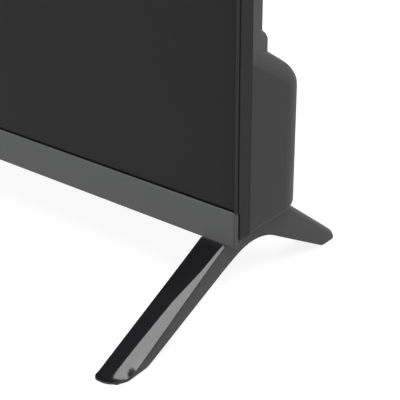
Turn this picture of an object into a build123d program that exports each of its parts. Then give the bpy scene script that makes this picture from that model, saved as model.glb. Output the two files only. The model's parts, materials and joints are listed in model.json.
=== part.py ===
from build123d import *

import os
from math import cos, radians, tan

# A flat screen television on two wishbone feet, in millimetres.
# Shapes are drawn with the screen's front plane at Y = 0, growing towards the back,
# the chin's underside at Z = 0 and the middle of the screen at X = 0.
# save() moves them so that the origin is the middle of the footprint on the floor.

# Small values shared by many pieces
overrun = 2.0
seat_gap = 0.3
sheet_gap = 0.4
hair_gap = 0.05

# Screen glass
active_width = 697.7
active_height = 392.3
side_border = 8.0
top_border = 8.0
shown_bottom_border = 2.0
hidden_glass = 5.0
glass_thickness = 1.2

# Front bezel
lip_width = 2.0
lip_thickness = 0.5
lip_heel_thickness = 1.0
glass_drop = 0.8
shadow_gap_depth = 0.9

# Chin trim
chin_height = 20.4
chin_wall = 1.0
chin_side_gap = 0.2
chin_return_depth = 5.5
chin_return_thickness = 1.2
chin_bevel = 0.5
chin_clip_count = 6
chin_clip_width = 14.0
chin_clip_height = 2.0
chin_clip_reach = 1.2

# Middle frame
frame_wall = 2.0
frame_ledge = 1.4
frame_back = 11.0
frame_lift = 4.3
frame_rim_wall = 0.7
frame_rim_reach = 1.1
window_margin = 1.5

# Light unit
films_thickness = 0.8
plate_thickness = 1.5
tray_sheet = 0.8
tray_lift = 16.0
tray_depth = 14.2
tray_flange = 6.0
tray_taper = 15.0
tray_rib_count = 5
tray_rib_width = 12.0
tray_rib_height = 1.6
tray_rib_length = 180.0
reflector_sheet = 0.4
led_bar_count = 3
led_bar_width = 14.0
led_bar_thickness = 1.0
led_bar_margin = 30.0
led_per_bar = 8
led_size = 3.0
led_height = 0.6
lens_radius = 7.5
lens_height = 5.5
lens_dimple_radius = 2.0
lens_foot_radius = 1.0
support_radius = 3.5
support_tip_radius = 0.8
support_count = 4

# Panel electronics
source_board_width = 360.0
source_board_height = 8.0
board_thickness = 1.6
source_board_thickness = 1.0
source_board_start = 7.0
flex_count = 4
flex_width = 36.0
flex_thickness = 0.3
flex_slot_height = 1.6
ribbon_width = 22.0
ribbon_thickness = 0.5
ribbon_lift = 7.4
ribbon_plug_height = 5.0
ribbon_plug_depth = 2.6

# Rear cover
cover_wall = 2.2
cover_seam = 0.2
thin_depth = 27.0
edge_taper = 18.0
thin_round = 3.0
step_depth = 37.5
step_top = 118.0
step_round = 5.5
bulge_depth = 71.5
bulge_corner = 28.5
bulge_slope = 32.5
bulge_edge_round = 13.0
bulge_foot_round = 2.0
shoulder_height = 77.2

# Cooling slots in the thin part of the cover, and speaker slots under the bulge
vent_count = 56
vent_pitch = 7.0
vent_width = 3.0
vent_height = 16.0
vent_centre_height = 136.0
sound_slot_count = 11
sound_slot_pitch = 7.0
sound_slot_width = 2.4
sound_slot_length = 22.0

# Wall mount inserts
vesa_width = 200.0
vesa_height = 100.0
vesa_centre_height = 210.0
vesa_radius = 5.0
vesa_bore_radius = 1.65
vesa_hole_gap = 0.4

# Cover screws
screw_radius = 1.5
screw_head_radius = 3.0
screw_head_height = 1.8
screw_length = 6.0
screw_recess = 2.0
well_radius = 4.5
well_height = 64.4
well_side_share = 0.87985
well_pocket_gap = 10.6
cover_screw_edge = 40.0
screw_row_share = (-0.84, -0.3, 0.3, 0.84)
screw_side_share = (0.46, 0.74)

# Standoffs and boards
standoff_radius = 3.0
board_seat = 8.0
board_lift = 9.0
board_height = 82.0
board_screw_inset = 5.0
socket_screw_inset = 26.0
board_screw_length = 6.0
board_screw_head_height = 1.6
board_screw_head_radius = 2.6
main_board_share = 0.47334
power_board_share = 0.41765
board_gap_share = 0.05012

# Port pocket in the back of the bulge
pocket_right_share = 0.41765
pocket_left_share = 0.59864
pocket_floor = 24.5
pocket_low = 8.5
pocket_high = 87.0
panel_margin = 12.0
panel_well_margin = 21.0
port_inset = 0.5

# Sockets on the main board, each with its mouth towards the pocket
hdmi_width = 15.0
hdmi_height = 6.2
hdmi_length = 12.0
hdmi_mouth_width = 14.0
hdmi_mouth_height = 4.55
hdmi_mouth_depth = 10.0
hdmi_places = (17.5, 35.0)
usb_width = 14.5
usb_height = 7.0
usb_length = 14.0
usb_mouth_width = 12.5
usb_mouth_height = 5.1
usb_mouth_depth = 12.0
usb_place = 51.5
jack_width = 7.0
jack_length = 14.0
jack_height = 6.5
jack_bore_radius = 1.8
jack_bore_depth = 13.0
jack_places = (63.5, 72.0)
antenna_place = 81.0
antenna_block = 9.0
antenna_block_length = 20.0
antenna_barrel_radius = 3.9
antenna_barrel_length = 10.0
antenna_neck_radius = 3.4
antenna_bore_radius = 2.2
antenna_bore_depth = 8.0

# Chips and cooler on the main board, places and the cooler's side as shares of the board
chip_height = 1.4
chip_place_shares = ((0.36, 0.30), (0.36, 0.72), (0.74, 0.24), (0.80, 0.62))
chip_side_shares = (0.16, 0.20, 0.14, 0.18)
cooler_side_share = 0.2235
cooler_base = 2.0
cooler_fin_height = 7.0
cooler_fin_thickness = 1.2
cooler_fin_count = 7
cooler_place_share = (0.58, 0.46)

# Power board pieces, places as shares of the board
transformer_width = 34.0
transformer_height = 30.0
transformer_depth = 22.0
transformer_core = 9.0
transformer_place_share = (0.42, 0.40)
capacitor_radius = 9.0
capacitor_depth = 28.0
capacitor_place_shares = ((0.74, 0.66), (0.74, 0.38))
small_capacitor_radius = 5.0
small_capacitor_depth = 16.0
small_capacitor_place_shares = ((0.16, 0.66), (0.16, 0.48), (0.16, 0.30))
sink_width = 44.0
sink_depth = 24.0
sink_thickness = 2.0
sink_place_share = (0.42, 0.78)
plug_width = 12.0
plug_height = 6.0
plug_depth = 7.0

# Mains inlet in the back of the bulge
inlet_share = 0.5875
inlet_z = 30.0
inlet_body_width = 21.0
inlet_body_height = 13.0
inlet_body_depth = 19.0
inlet_flange_width = 27.0
inlet_flange_height = 17.0
inlet_flange_thickness = 1.5
inlet_mouth_width = 16.0
inlet_mouth_height = 9.2
inlet_mouth_depth = 14.0
inlet_pin_radius = 1.2
inlet_pin_spacing = 8.6
inlet_pin_length = 12.0
inlet_tail = 2.0

# Wires
wire_radius = 0.9
wire_bend = 2.0
wire_lane = 2.6
wire_rise = 8.0
wire_top_height = 105.0
wire_top_depth = 26.0
wire_shoulder_height = 86.0
wire_dive_height = 77.0
led_hole_share = 0.21718
led_hole_z = 95.5
led_hole_radius = 6.0
led_plug_radius = 5.4
led_wire_depth = 31.0
key_wire_depth = 17.0
key_wire_gap = 13.0

# Speakers
speaker_width_share = 0.25059
speaker_centre_share = 0.77683
speaker_front = 24.0
speaker_depth = 34.0
speaker_lift = 9.0
speaker_height = 48.0
speaker_wall = 2.5
driver_radius = 15.0
driver_rim = 1.8
driver_rim_lip = 1.0
driver_cone_drop = 5.0
driver_cone_wall = 0.8
driver_magnet_radius = 9.0
driver_magnet_height = 9.0
grommet_radius = 3.0
grommet_length = 2.2

# Push keys on the back
key_share = 0.79354
key_low = 22.0
key_pitch = 10.0
key_names = ("key_volume_down", "key_volume_up", "key_menu", "key_source", "key_power")
key_width = 11.0
key_height = 6.6
key_gap = 0.3
key_proud = 1.2
key_flange_rim = 1.2
key_flange_thickness = 1.0
key_stem_radius = 1.3
key_travel = 0.6
key_corner = 0.8
switch_side = 6.0
switch_depth = 3.2
switch_bore_gap = 0.3
key_board_width = 28.6
key_board_margin = 9.0
key_board_thickness = 1.2
key_boss_radius = 3.0
key_boss_inset = 4.0
key_screw_length = 4.0

# Infrared window and board under the chin
eye_width = 18.0
eye_depth = 2.8
eye_front = 1.8
eye_drop = 2.0
eye_flange = 1.2
eye_flange_thickness = 0.8
eye_board_width = 34.0
eye_board_depth = 7.0
eye_board_thickness = 0.8
eye_plug_width = 8.0
eye_plug_depth = 2.2

# Feet
stand_height = 43.5
foot_inset = 8.0
foot_width = 16.5
foot_front_reach = 91.0
foot_rear_reach = 112.0
foot_toe_length = 3.0
foot_toe_thickness = 2.6
foot_knee_height = 3.2
foot_splay = 3.1
foot_heel_height = 7.6
foot_heel_tip_height = 5.0
foot_heel_length = 3.0
foot_front_pad_end = 66.5
foot_rear_pad_start = 97.5
foot_top_end = 57.0
foot_notch = 7.0
foot_crown_y = 28.8
foot_crown_height = 39.4
foot_arch_round = 42.0
foot_tip_round = 4.0
foot_toe_outer_round = 12.0
foot_toe_inner_round = 3.0
foot_rear_edge_round = 4.0
cap_root_thickness = 1.2
cap_toe_height = 2.0
cap_knee_reach = 78.8
cap_slope_width = 6.0
cap_slope_root_width = 0.5
cap_slope_growth = 20.0
cap_slope_rim = 0.4
cap_slope_over = 0.2
pad_thickness = 1.2
pad_width = 10.0
front_pad_length = 14.0
rear_pad_length = 10.0
pad_tip_gap = 4.0

# Foot brackets, tenons and screws
tenon_width = 10.0
tenon_start = 24.0
tenon_depth = 22.0
tenon_height = 22.0
bracket_width = 23.0
bracket_wall = 4.0
bracket_cap = 12.0
foot_screw_radius = 2.0
foot_screw_head_radius = 3.8
foot_screw_head_height = 2.5
foot_screw_seat = 4.5
foot_screw_share = (0.24, 0.76)
foot_screw_grip = 9.0

# Sizes worked out from those above
glass_width = active_width + 2 * side_border
body_width = glass_width + 2 * (seat_gap + lip_width)
half_width = body_width / 2
active_bottom = chin_height + shown_bottom_border
glass_bottom = chin_height - hidden_glass
glass_top = active_bottom + active_height + top_border
body_height = glass_top + seat_gap + lip_width
glass_front = lip_thickness + glass_drop
glass_back = glass_front + glass_thickness
ledge_back = glass_back + frame_ledge
films_back = ledge_back + films_thickness
plate_back = films_back + plate_thickness
tray_back = plate_back + tray_depth
tray_half = half_width - frame_wall - sheet_gap
tray_top = body_height - frame_wall - sheet_gap
tray_lean = tray_depth * tan(radians(tray_taper))
floor_half = tray_half - tray_flange - tray_lean
floor_low = tray_lift + tray_flange + tray_lean
floor_high = tray_top - tray_flange - tray_lean
cover_start = frame_back + cover_seam
screw_seat = thin_depth - screw_recess
board_front = tray_back + board_seat
board_back = board_front + board_thickness
pocket_right = -pocket_right_share * half_width
pocket_left = -pocket_left_share * half_width
main_board_width = main_board_share * half_width
power_board_width = power_board_share * half_width
board_gap = board_gap_share * half_width
main_left = pocket_right + cover_wall + seat_gap
main_right = main_left + main_board_width
power_left = main_right + board_gap
power_right = power_left + power_board_width
mouth_x = pocket_right + port_inset
cooler_side = cooler_side_share * main_board_width
inlet_x = inlet_share * half_width
led_hole_x = led_hole_share * half_width
speaker_width = speaker_width_share * half_width
speaker_centre = speaker_centre_share * half_width
key_x = -key_share * half_width
key_wire_x = pocket_left - key_wire_gap
well_side = well_side_share * half_width
foot_x = half_width - foot_inset - foot_width / 2
root_top = frame_lift - seat_gap
inlet_back = bulge_depth - inlet_body_depth


def block(x0, x1, y0, y1, z0, z1):
    """A box between two corners."""
    middle = Pos((x0 + x1) / 2, (y0 + y1) / 2, (z0 + z1) / 2)
    return middle * Box(x1 - x0, y1 - y0, z1 - z0)


def rod_x(radius, y, z, x0, x1):
    """A cylinder along X."""
    return Pos((x0 + x1) / 2, y, z) * Rot(0, 90, 0) * Cylinder(radius, x1 - x0)


def rod_y(radius, x, z, y0, y1):
    """A cylinder along Y."""
    return Pos(x, (y0 + y1) / 2, z) * Rot(90, 0, 0) * Cylinder(radius, y1 - y0)


def rod_z(radius, x, y, z0, z1):
    """A cylinder along Z."""
    return Pos(x, y, (z0 + z1) / 2) * Cylinder(radius, z1 - z0)


def back_slab(half, low, high, start, end, taper=0.0):
    """A slab that narrows by the taper angle as it goes from start to end depth."""
    plane = Plane(origin=(0, start, (low + high) / 2), x_dir=(1, 0, 0), z_dir=(0, 1, 0))
    return extrude(plane * Rectangle(2 * half, high - low), amount=end - start, taper=taper)


def side_prism(points, x0, x1):
    """An outline of depth and height points, closed and carried from x0 to x1."""
    outline = make_face(Polyline(*[(0, y, z) for y, z in points], close=True))
    return Pos(x0, 0, 0) * extrude(outline, amount=x1 - x0, dir=(1, 0, 0))


def spread(count, pitch, middle=0.0):
    """Evenly spaced places about a middle."""
    return [middle + (i - (count - 1) / 2) * pitch for i in range(count)]


def front_bezel():
    """The lip round the top and sides of the glass, with its skirt behind."""
    outer = block(-half_width, half_width, 0, lip_thickness, 0, body_height)
    inner_half = half_width - lip_width
    inner_top = body_height - lip_width
    lip = outer - block(-inner_half, inner_half, -overrun, lip_thickness + overrun, -overrun, inner_top)
    skirt_half = half_width - shadow_gap_depth
    skirt_top = body_height - shadow_gap_depth
    skirt = block(-skirt_half, skirt_half, lip_thickness, glass_back, 0, skirt_top)
    skirt -= block(-inner_half, inner_half, 0, glass_back + overrun, -overrun, inner_top)
    heels = block(-half_width, half_width, 0, lip_heel_thickness, 0, chin_height)
    heels -= block(-inner_half, inner_half, -overrun, lip_heel_thickness + overrun, -overrun, inner_top)
    return lip + skirt + heels


def chin_trim():
    """The strip under the screen, with its return underneath and clips behind."""
    half = half_width - lip_width - chin_side_gap
    wall = block(-half, half, 0, chin_wall, 0, chin_height)
    edge = wall.edges().filter_by(Axis.X).group_by(Axis.Z)[-1].sort_by(Axis.Y)[0]
    wall = chamfer(edge, chin_bevel)
    low = block(-half, half, 0, chin_return_depth, 0, chin_return_thickness)
    trim = wall + low
    clip_z = (glass_bottom + frame_lift) / 2
    for x in spread(chin_clip_count, 2 * half / (chin_clip_count + 1)):
        trim += block(x - chin_clip_width / 2, x + chin_clip_width / 2, 0, glass_back + chin_clip_reach,
                      clip_z, clip_z + chin_clip_height)
    return trim - eye_window(key_gap)


def eye_window(gap):
    """The space that the infrared window takes through the chin's return."""
    half = eye_width / 2 + gap
    return block(-half, half, eye_front - gap, eye_front + eye_depth + gap, -overrun, eye_plug_depth + overrun)


def lcd_panel():
    """The screen glass."""
    half = glass_width / 2
    return block(-half, half, glass_front, glass_back, glass_bottom, glass_top)


def middle_frame():
    """The ring that carries the glass in front and the light unit behind it."""
    ring = block(-half_width, half_width, glass_back, frame_back, frame_lift, body_height)
    ring -= block(-half_width + frame_wall, half_width - frame_wall, ledge_back, frame_back + overrun,
                  frame_lift + frame_wall, body_height - frame_wall)
    rim_half = half_width - frame_rim_wall
    rim = block(-half_width, half_width, glass_back - frame_rim_reach, glass_back, chin_height, body_height)
    ring += rim - block(-rim_half, rim_half, 0, glass_back + overrun, 0, body_height - frame_rim_wall)
    window_half = active_width / 2 + window_margin
    window = block(-window_half, window_half, 0, frame_back, active_bottom - window_margin,
                   active_bottom + active_height + window_margin)
    ring -= window
    half = half_width - lip_width - chin_side_gap
    clip_z = (glass_bottom + frame_lift) / 2
    for x in spread(chin_clip_count, 2 * half / (chin_clip_count + 1)):
        reach = chin_clip_width / 2 + seat_gap
        ring -= block(x - reach, x + reach, 0, ledge_back + overrun, clip_z - seat_gap,
                      clip_z + chin_clip_height + seat_gap)
    slot_z = glass_bottom - flex_slot_height
    for x in flex_places():
        reach = flex_width / 2 + seat_gap
        ring -= block(x - reach, x + reach, 0, ledge_back + overrun, slot_z, glass_bottom)
    x0, x1 = eye_film_sides()
    back = source_board_start
    return ring - block(x0 - seat_gap, x1 + seat_gap, back - flex_thickness - seat_gap, back + seat_gap,
                        frame_lift - overrun, frame_lift + frame_wall + overrun)


def flex_places():
    """The middles of the flex films along the glass."""
    return spread(flex_count, source_board_width / flex_count)


def optical_films():
    """The pack of films behind the glass."""
    half = tray_half - sheet_gap
    return block(-half, half, ledge_back, films_back, tray_lift, tray_top - sheet_gap)


def diffuser_plate():
    """The milky plate that spreads the light."""
    half = tray_half - sheet_gap
    return block(-half, half, films_back, plate_back, tray_lift, tray_top - sheet_gap)


def lamp_rows():
    """The heights of the LED bars."""
    pitch = (floor_high - floor_low) / led_bar_count
    return spread(led_bar_count, pitch, (floor_high + floor_low) / 2)


def lamp_columns():
    """The places of the LEDs along each bar."""
    length = 2 * (floor_half - led_bar_margin)
    return spread(led_per_bar, length / led_per_bar)


def support_places():
    """The places of the plate's supports, between the LED bars."""
    rows = lamp_rows()
    heights = [(rows[i] + rows[i + 1]) / 2 for i in range(led_bar_count - 1)]
    return [(x, z) for z in heights for x in spread(support_count, 2 * floor_half / support_count)]


def tray_shell(inset, start, end):
    """The tray's tapered inner space, drawn in by an inset."""
    drawn = tray_flange + inset - (plate_back - start) * tan(radians(tray_taper))
    return back_slab(tray_half - drawn, tray_lift + drawn, tray_top - drawn, start, end, tray_taper)


def cover_screw_places():
    """Where the rear cover is screwed to the tray, as X and Z."""
    half = floor_half - cover_screw_edge
    top = floor_high - cover_screw_edge / 2
    places = [(share * half, top) for share in screw_row_share]
    places += [(side * floor_half * (1 - cover_screw_edge / body_width), share * body_height)
               for share in screw_side_share for side in (-1, 1)]
    return places


def well_places():
    """Where the screws in the deep wells of the bulge are, as X and Z."""
    xs = (-well_side, pocket_left - well_pocket_gap, main_right + board_gap / 2, inlet_x, well_side)
    return [(x, well_height) for x in xs]


def board_screw_places():
    """Where the two boards are screwed to the tray's standoffs, as X and Z."""
    low = floor_low + board_screw_inset
    high = board_lift + board_height - board_screw_inset
    columns = (main_left + socket_screw_inset, main_right - board_screw_inset,
               power_left + board_screw_inset, power_right - board_screw_inset)
    return [(x, z) for x in columns for z in (low, high)]


def backlight_tray():
    """The pressed steel tray with its flange, ribs and standoffs."""
    flange = block(-tray_half, tray_half, plate_back, plate_back + tray_sheet, tray_lift, tray_top)
    tray = flange + tray_shell(0, plate_back, tray_back)
    tray -= tray_shell(tray_sheet, plate_back - overrun, tray_back - tray_sheet)
    for x in spread(tray_rib_count, 2 * floor_half / tray_rib_count):
        low = vesa_centre_height + vesa_height
        rib = block(x - tray_rib_width / 2, x + tray_rib_width / 2, tray_back, tray_back + tray_rib_height,
                    low - tray_rib_length, low + tray_rib_height)
        if abs(x) < vesa_width / 4 or abs(x) > vesa_width:
            tray += rib
    for x, z in board_screw_places():
        tray += rod_y(standoff_radius, x, z, tray_back - tray_sheet, board_front)
    for x, z in cover_screw_places() + well_places():
        tray += rod_y(standoff_radius, x, z, tray_back - tray_sheet, screw_seat - cover_wall)
    for x, z in board_screw_places():
        tray -= rod_y(screw_radius + hair_gap, x, z, board_back - board_screw_length - seat_gap, board_front + overrun)
    for x, z in cover_screw_places() + well_places():
        tray -= rod_y(screw_radius + hair_gap, x, z, screw_seat - screw_length - seat_gap, screw_seat)
    return tray - rod_y(led_hole_radius, led_hole_x, led_hole_z, tray_back - overrun, tray_back + overrun)


def lamp_front():
    """The depth of the front faces of the LED bars."""
    return tray_back - tray_sheet - led_bar_thickness


def reflector():
    """The white sheet with a hole for each lens."""
    front = plate_back + seat_gap
    floor_back = lamp_front() - seat_gap / 3
    outer = tray_sheet + seat_gap
    sheet = tray_shell(outer, front, floor_back)
    sheet -= tray_shell(outer + reflector_sheet, front - overrun, floor_back - reflector_sheet)
    for z in lamp_rows():
        for x in lamp_columns():
            sheet -= rod_y(lens_radius + seat_gap, x, z, floor_back - overrun, floor_back + overrun)
    for x, z in support_places():
        sheet -= rod_y(support_radius + seat_gap, x, z, floor_back - overrun, floor_back + overrun)
    return sheet


def led_bars():
    """The boards with the LEDs on them."""
    half = floor_half - led_bar_margin
    bars = []
    for z in lamp_rows():
        bar = block(-half, half, lamp_front(), tray_back - tray_sheet, z - led_bar_width / 2, z + led_bar_width / 2)
        for x in lamp_columns():
            bar += block(x - led_size / 2, x + led_size / 2, lamp_front() - led_height, lamp_front() + hair_gap,
                         z - led_size / 2, z + led_size / 2)
        bars.append(bar)
    return bars


def led_lenses():
    """The domed lenses over the LEDs, each on three short feet."""
    rim = lamp_front() - led_height - seat_gap
    profile = make_face(
        Line((0, 0), (lens_radius, 0))
        + EllipticalCenterArc((0, 0), lens_radius, lens_height, arc_size=90)
        + Line((0, lens_height), (0, 0))
    )
    dome = revolve(profile, Axis.Y)
    dome -= Pos(0, lens_height, 0) * Sphere(lens_dimple_radius)
    for turn in range(3):
        post = Pos(lens_radius * 3 / 4, 0, 0) * Rot(90, 0, 0) * Cylinder(lens_foot_radius, 2 * (led_height + seat_gap))
        dome += Rot(0, turn * 120, 0) * post
    dome -= block(-lens_radius, lens_radius, -lens_height, -led_height - seat_gap, -lens_radius, lens_radius)
    dome = Rot(180, 0, 0) * dome
    return [Pos(x, rim, z) * dome for z in lamp_rows() for x in lamp_columns()]


def diffuser_supports():
    """The cones that keep the plate from sagging."""
    start = plate_back + seat_gap
    end = tray_back - tray_sheet
    cone = Rot(90, 0, 0) * Cone(support_radius, support_tip_radius, end - start)
    return [Pos(x, (start + end) / 2, z) * cone for x, z in support_places()]


def ribbon_x():
    """The middle of the ribbon cable."""
    return main_right - ribbon_width * 3 / 2


def source_board():
    """The narrow board under the light unit, with the ribbon's socket."""
    half = source_board_width / 2
    start = source_board_start
    low = frame_lift + frame_wall + seat_gap
    board = block(-half, half, start, start + source_board_thickness, low, low + source_board_height)
    x = ribbon_x()
    return board + block(x - ribbon_width / 2, x + ribbon_width / 2, start,
                         start + source_board_thickness + ribbon_plug_depth,
                         ribbon_lift + ribbon_thickness, ribbon_lift + ribbon_plug_height)


def flex_films():
    """The thin films through the frame to the source board, from the glass and from the infrared board."""
    films = []
    z = glass_bottom - flex_slot_height + seat_gap
    low = frame_lift + frame_wall + seat_gap + source_board_height / 2
    back = source_board_start
    front = glass_front + seat_gap
    for x in flex_places():
        x0 = x - flex_width / 2
        x1 = x + flex_width / 2
        film = block(x0, x1, front, back, z, z + flex_thickness)
        film += block(x0, x1, front, front + flex_thickness, z, glass_bottom)
        film += block(x0, x1, back - flex_thickness, back, low, z + flex_thickness)
        films.append(film)
    x0, x1 = eye_film_sides()
    films.append(block(x0, x1, back - flex_thickness, back, frame_lift - seat_gap, low - seat_gap))
    return films


def eye_film_sides():
    """The two sides of the film from the infrared board."""
    return eye_plug_width / 2, eye_plug_width


def ribbon_cable():
    """The flat cable from the source board, under the tray, to the main board."""
    x0 = ribbon_x() - ribbon_width / 2
    x1 = x0 + ribbon_width
    start = source_board_start + source_board_thickness + ribbon_plug_depth
    turn = board_back + ribbon_plug_depth
    run = block(x0, x1, start - ribbon_plug_depth, turn, ribbon_lift, ribbon_lift + ribbon_thickness)
    return run + block(x0, x1, turn - ribbon_thickness, turn, ribbon_lift, board_lift + ribbon_plug_height)


def bulge_form(inset):
    """The deep lower part of the cover, drawn in by an inset."""
    half = half_width - inset
    back = bulge_depth - inset
    low = frame_lift + inset
    lift = tan(radians(bulge_slope))
    drop = inset / cos(radians(bulge_slope))
    start = cover_start - (overrun if inset else 0)
    plan = make_face(Polyline((-half, start), (half, start), (half, back), (-half, back), close=True))
    plan = fillet(plan.vertices().group_by(Axis.Y)[-1], bulge_corner - inset)
    high = shoulder_height + lift * (bulge_depth - start) + overrun
    form = Pos(0, 0, low) * extrude(plan, amount=high - low)
    rear_z = shoulder_height - drop - lift * overrun
    front_z = shoulder_height - drop + lift * (bulge_depth - start + overrun)
    above = [(start - overrun, front_z), (bulge_depth + overrun, rear_z),
             (bulge_depth + overrun, high + overrun), (start - overrun, high + overrun)]
    form -= side_prism(above, -body_width, body_width)
    rim = form.faces().sort_by(Axis.Z)[-1].edges().filter_by(lambda e: e.center().Y > start + hair_gap)
    form = fillet(rim, bulge_edge_round - inset)
    if not inset:
        foot = form.faces().sort_by(Axis.Z)[0].edges().filter_by(lambda e: e.center().Y > start + hair_gap)
        form = fillet(foot, bulge_foot_round)
    return form


def slab_form(inset, low, high, depth, rounding, round_top):
    """A part of the cover with slanted edges and a rounded back rim, drawn in by an inset."""
    lean = inset / cos(radians(edge_taper))
    start = cover_start - (overrun if inset else 0)
    grow = (cover_start - start) * tan(radians(edge_taper))
    slab = back_slab(half_width - lean + grow, low + lean - grow, high - lean + grow, start, depth - inset,
                     edge_taper)
    rim = slab.faces().sort_by(Axis.Y)[-1].edges()
    corners = slab.edges().filter_by(lambda e: abs(e.tangent_at(0).Y) > hair_gap).group_by(Axis.Z)[-1]
    return fillet(rim + corners if round_top else rim, rounding - inset)


def cover_form(inset):
    """The whole outside of the cover, or with an inset its inside."""
    thin = slab_form(inset, frame_lift, body_height, thin_depth, thin_round, False)
    step = slab_form(inset, frame_lift, step_top, step_depth, step_round, True)
    return thin + step + bulge_form(inset)


def port_pocket():
    """The pocket that the plugs reach the sockets through."""
    return block(pocket_left, pocket_right, pocket_floor, bulge_depth + overrun, pocket_low, pocket_high)


def pocket_liner():
    """The walls of that pocket, before it is cut."""
    return block(pocket_left - cover_wall, pocket_right + cover_wall, pocket_floor - cover_wall,
                 bulge_depth + overrun, pocket_low - cover_wall, pocket_high + cover_wall)


def port_windows():
    """The holes in the pocket's wall, one round each socket."""
    x0 = pocket_right - overrun
    x1 = pocket_right + cover_wall + overrun
    holes = []
    rows = [(z, hdmi_width, hdmi_height) for z in hdmi_places] + [(usb_place, usb_width, usb_height)]
    for z, width, height in rows:
        holes.append(block(x0, x1, board_back - seat_gap, board_back + height + seat_gap,
                           z - width / 2 - seat_gap, z + width / 2 + seat_gap))
    for z in jack_places:
        half = jack_width / 2 + seat_gap
        holes.append(block(x0, x1, board_back - seat_gap, board_back + jack_height + seat_gap, z - half, z + half))
    holes.append(rod_x(antenna_barrel_radius + seat_gap, board_back + antenna_block / 2, antenna_place, x0, x1))
    return holes


def key_heights():
    """The heights of the push keys."""
    return [key_low + i * key_pitch for i in range(len(key_names))]


def key_boss_places():
    """Where the key board is screwed to the cover, as X and Z."""
    low = key_low - key_board_margin + key_boss_inset
    high = key_heights()[-1] + key_board_margin - key_boss_inset
    side = key_board_width / 2 - key_boss_inset
    return [(key_x - side, low), (key_x + side, high)]


def key_board_front():
    """The depth of the key board's front face."""
    return bulge_depth - cover_wall - seat_gap - key_flange_thickness - switch_depth - key_travel \
        - seat_gap - key_board_thickness


def port_panel_zone():
    """The space of the panel that holds the pocket and the screw well beside it."""
    return block(pocket_left - cover_wall - panel_well_margin, pocket_right + cover_wall + panel_margin,
                 pocket_floor - cover_wall, bulge_depth + overrun, 0, pocket_high + cover_wall + panel_margin)


def inlet_plate_zone():
    """The space of the plate round the mains inlet."""
    reach_x = inlet_body_width / 2 + seat_gap + panel_margin
    reach_z = inlet_body_height / 2 + seat_gap + panel_margin
    return block(inlet_x - reach_x, inlet_x + reach_x, bulge_depth - cover_wall - overrun, bulge_depth + overrun,
                 inlet_z - reach_z, inlet_z + reach_z)


def back_housing():
    """The whole moulded back with its slots, wells, pocket and holes, before its panels are parted from it."""
    outside = cover_form(0)
    cover = outside - cover_form(cover_wall)
    cover += pocket_liner() & outside
    for x, z in well_places():
        cover += rod_y(well_radius + cover_wall, x, z, screw_seat - cover_wall, bulge_depth - cover_wall / 2)
    for x, z in cover_screw_places():
        cover += rod_y(screw_head_radius + cover_wall, x, z, screw_seat - cover_wall, thin_depth - cover_wall / 2)
    boss_start = key_board_front() + key_board_thickness
    for x, z in key_boss_places():
        cover += rod_y(key_boss_radius, x, z, boss_start, bulge_depth - cover_wall / 2)
    cuts = [port_pocket()] + port_windows()
    for x, z in well_places():
        cuts.append(rod_y(well_radius, x, z, screw_seat, bulge_depth + overrun))
    for x, z in cover_screw_places():
        cuts.append(rod_y(screw_head_radius + seat_gap, x, z, screw_seat, thin_depth + overrun))
    for x, z in well_places() + cover_screw_places():
        cuts.append(rod_y(screw_radius + seat_gap, x, z, screw_seat - cover_wall - overrun, screw_seat + overrun))
    for x, z in key_boss_places():
        cuts.append(rod_y(screw_radius + hair_gap, x, z, boss_start - overrun, boss_start + key_screw_length))
    half_slot = vent_width / 2
    for x in spread(vent_count, vent_pitch):
        cuts.append(block(x - half_slot, x + half_slot, thin_depth - cover_wall - overrun, thin_depth + overrun,
                          vent_centre_height - vent_height / 2, vent_centre_height + vent_height / 2))
    speaker_middle = speaker_front + speaker_depth / 2
    for side in (-1, 1):
        for x in spread(sound_slot_count, sound_slot_pitch, side * speaker_centre):
            cuts.append(block(x - sound_slot_width / 2, x + sound_slot_width / 2,
                              speaker_middle - sound_slot_length / 2, speaker_middle + sound_slot_length / 2,
                              frame_lift - overrun, frame_lift + cover_wall + overrun))
        reach = tenon_width / 2 + seat_gap
        cuts.append(block(side * foot_x - reach, side * foot_x + reach, tenon_start - seat_gap,
                          tenon_start + tenon_depth + seat_gap, frame_lift - overrun,
                          frame_lift + cover_wall + overrun))
    for x, z in vesa_places():
        cuts.append(rod_y(vesa_radius + vesa_hole_gap, x, z, thin_depth - cover_wall - overrun, thin_depth + overrun))
    for z in key_heights():
        cuts.append(block(key_x - key_width / 2 - key_gap, key_x + key_width / 2 + key_gap,
                          bulge_depth - cover_wall - overrun, bulge_depth + overrun,
                          z - key_height / 2 - key_gap, z + key_height / 2 + key_gap))
    reach_x = inlet_body_width / 2 + seat_gap
    reach_z = inlet_body_height / 2 + seat_gap
    cuts.append(block(inlet_x - reach_x, inlet_x + reach_x, bulge_depth - cover_wall - overrun,
                      bulge_depth + overrun, inlet_z - reach_z, inlet_z + reach_z))
    return cover - cuts


def vesa_places():
    """The four wall mount points, as X and Z."""
    return [(sx * vesa_width / 2, vesa_centre_height + sz * vesa_height / 2)
            for sx in (-1, 1) for sz in (-1, 1)]


def vesa_inserts():
    """The threaded posts that a wall bracket bolts to."""
    posts = []
    for x, z in vesa_places():
        post = rod_y(vesa_radius, x, z, tray_back, thin_depth)
        posts.append(post - rod_y(vesa_bore_radius, x, z, tray_back - overrun, thin_depth + overrun))
    return posts


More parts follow.
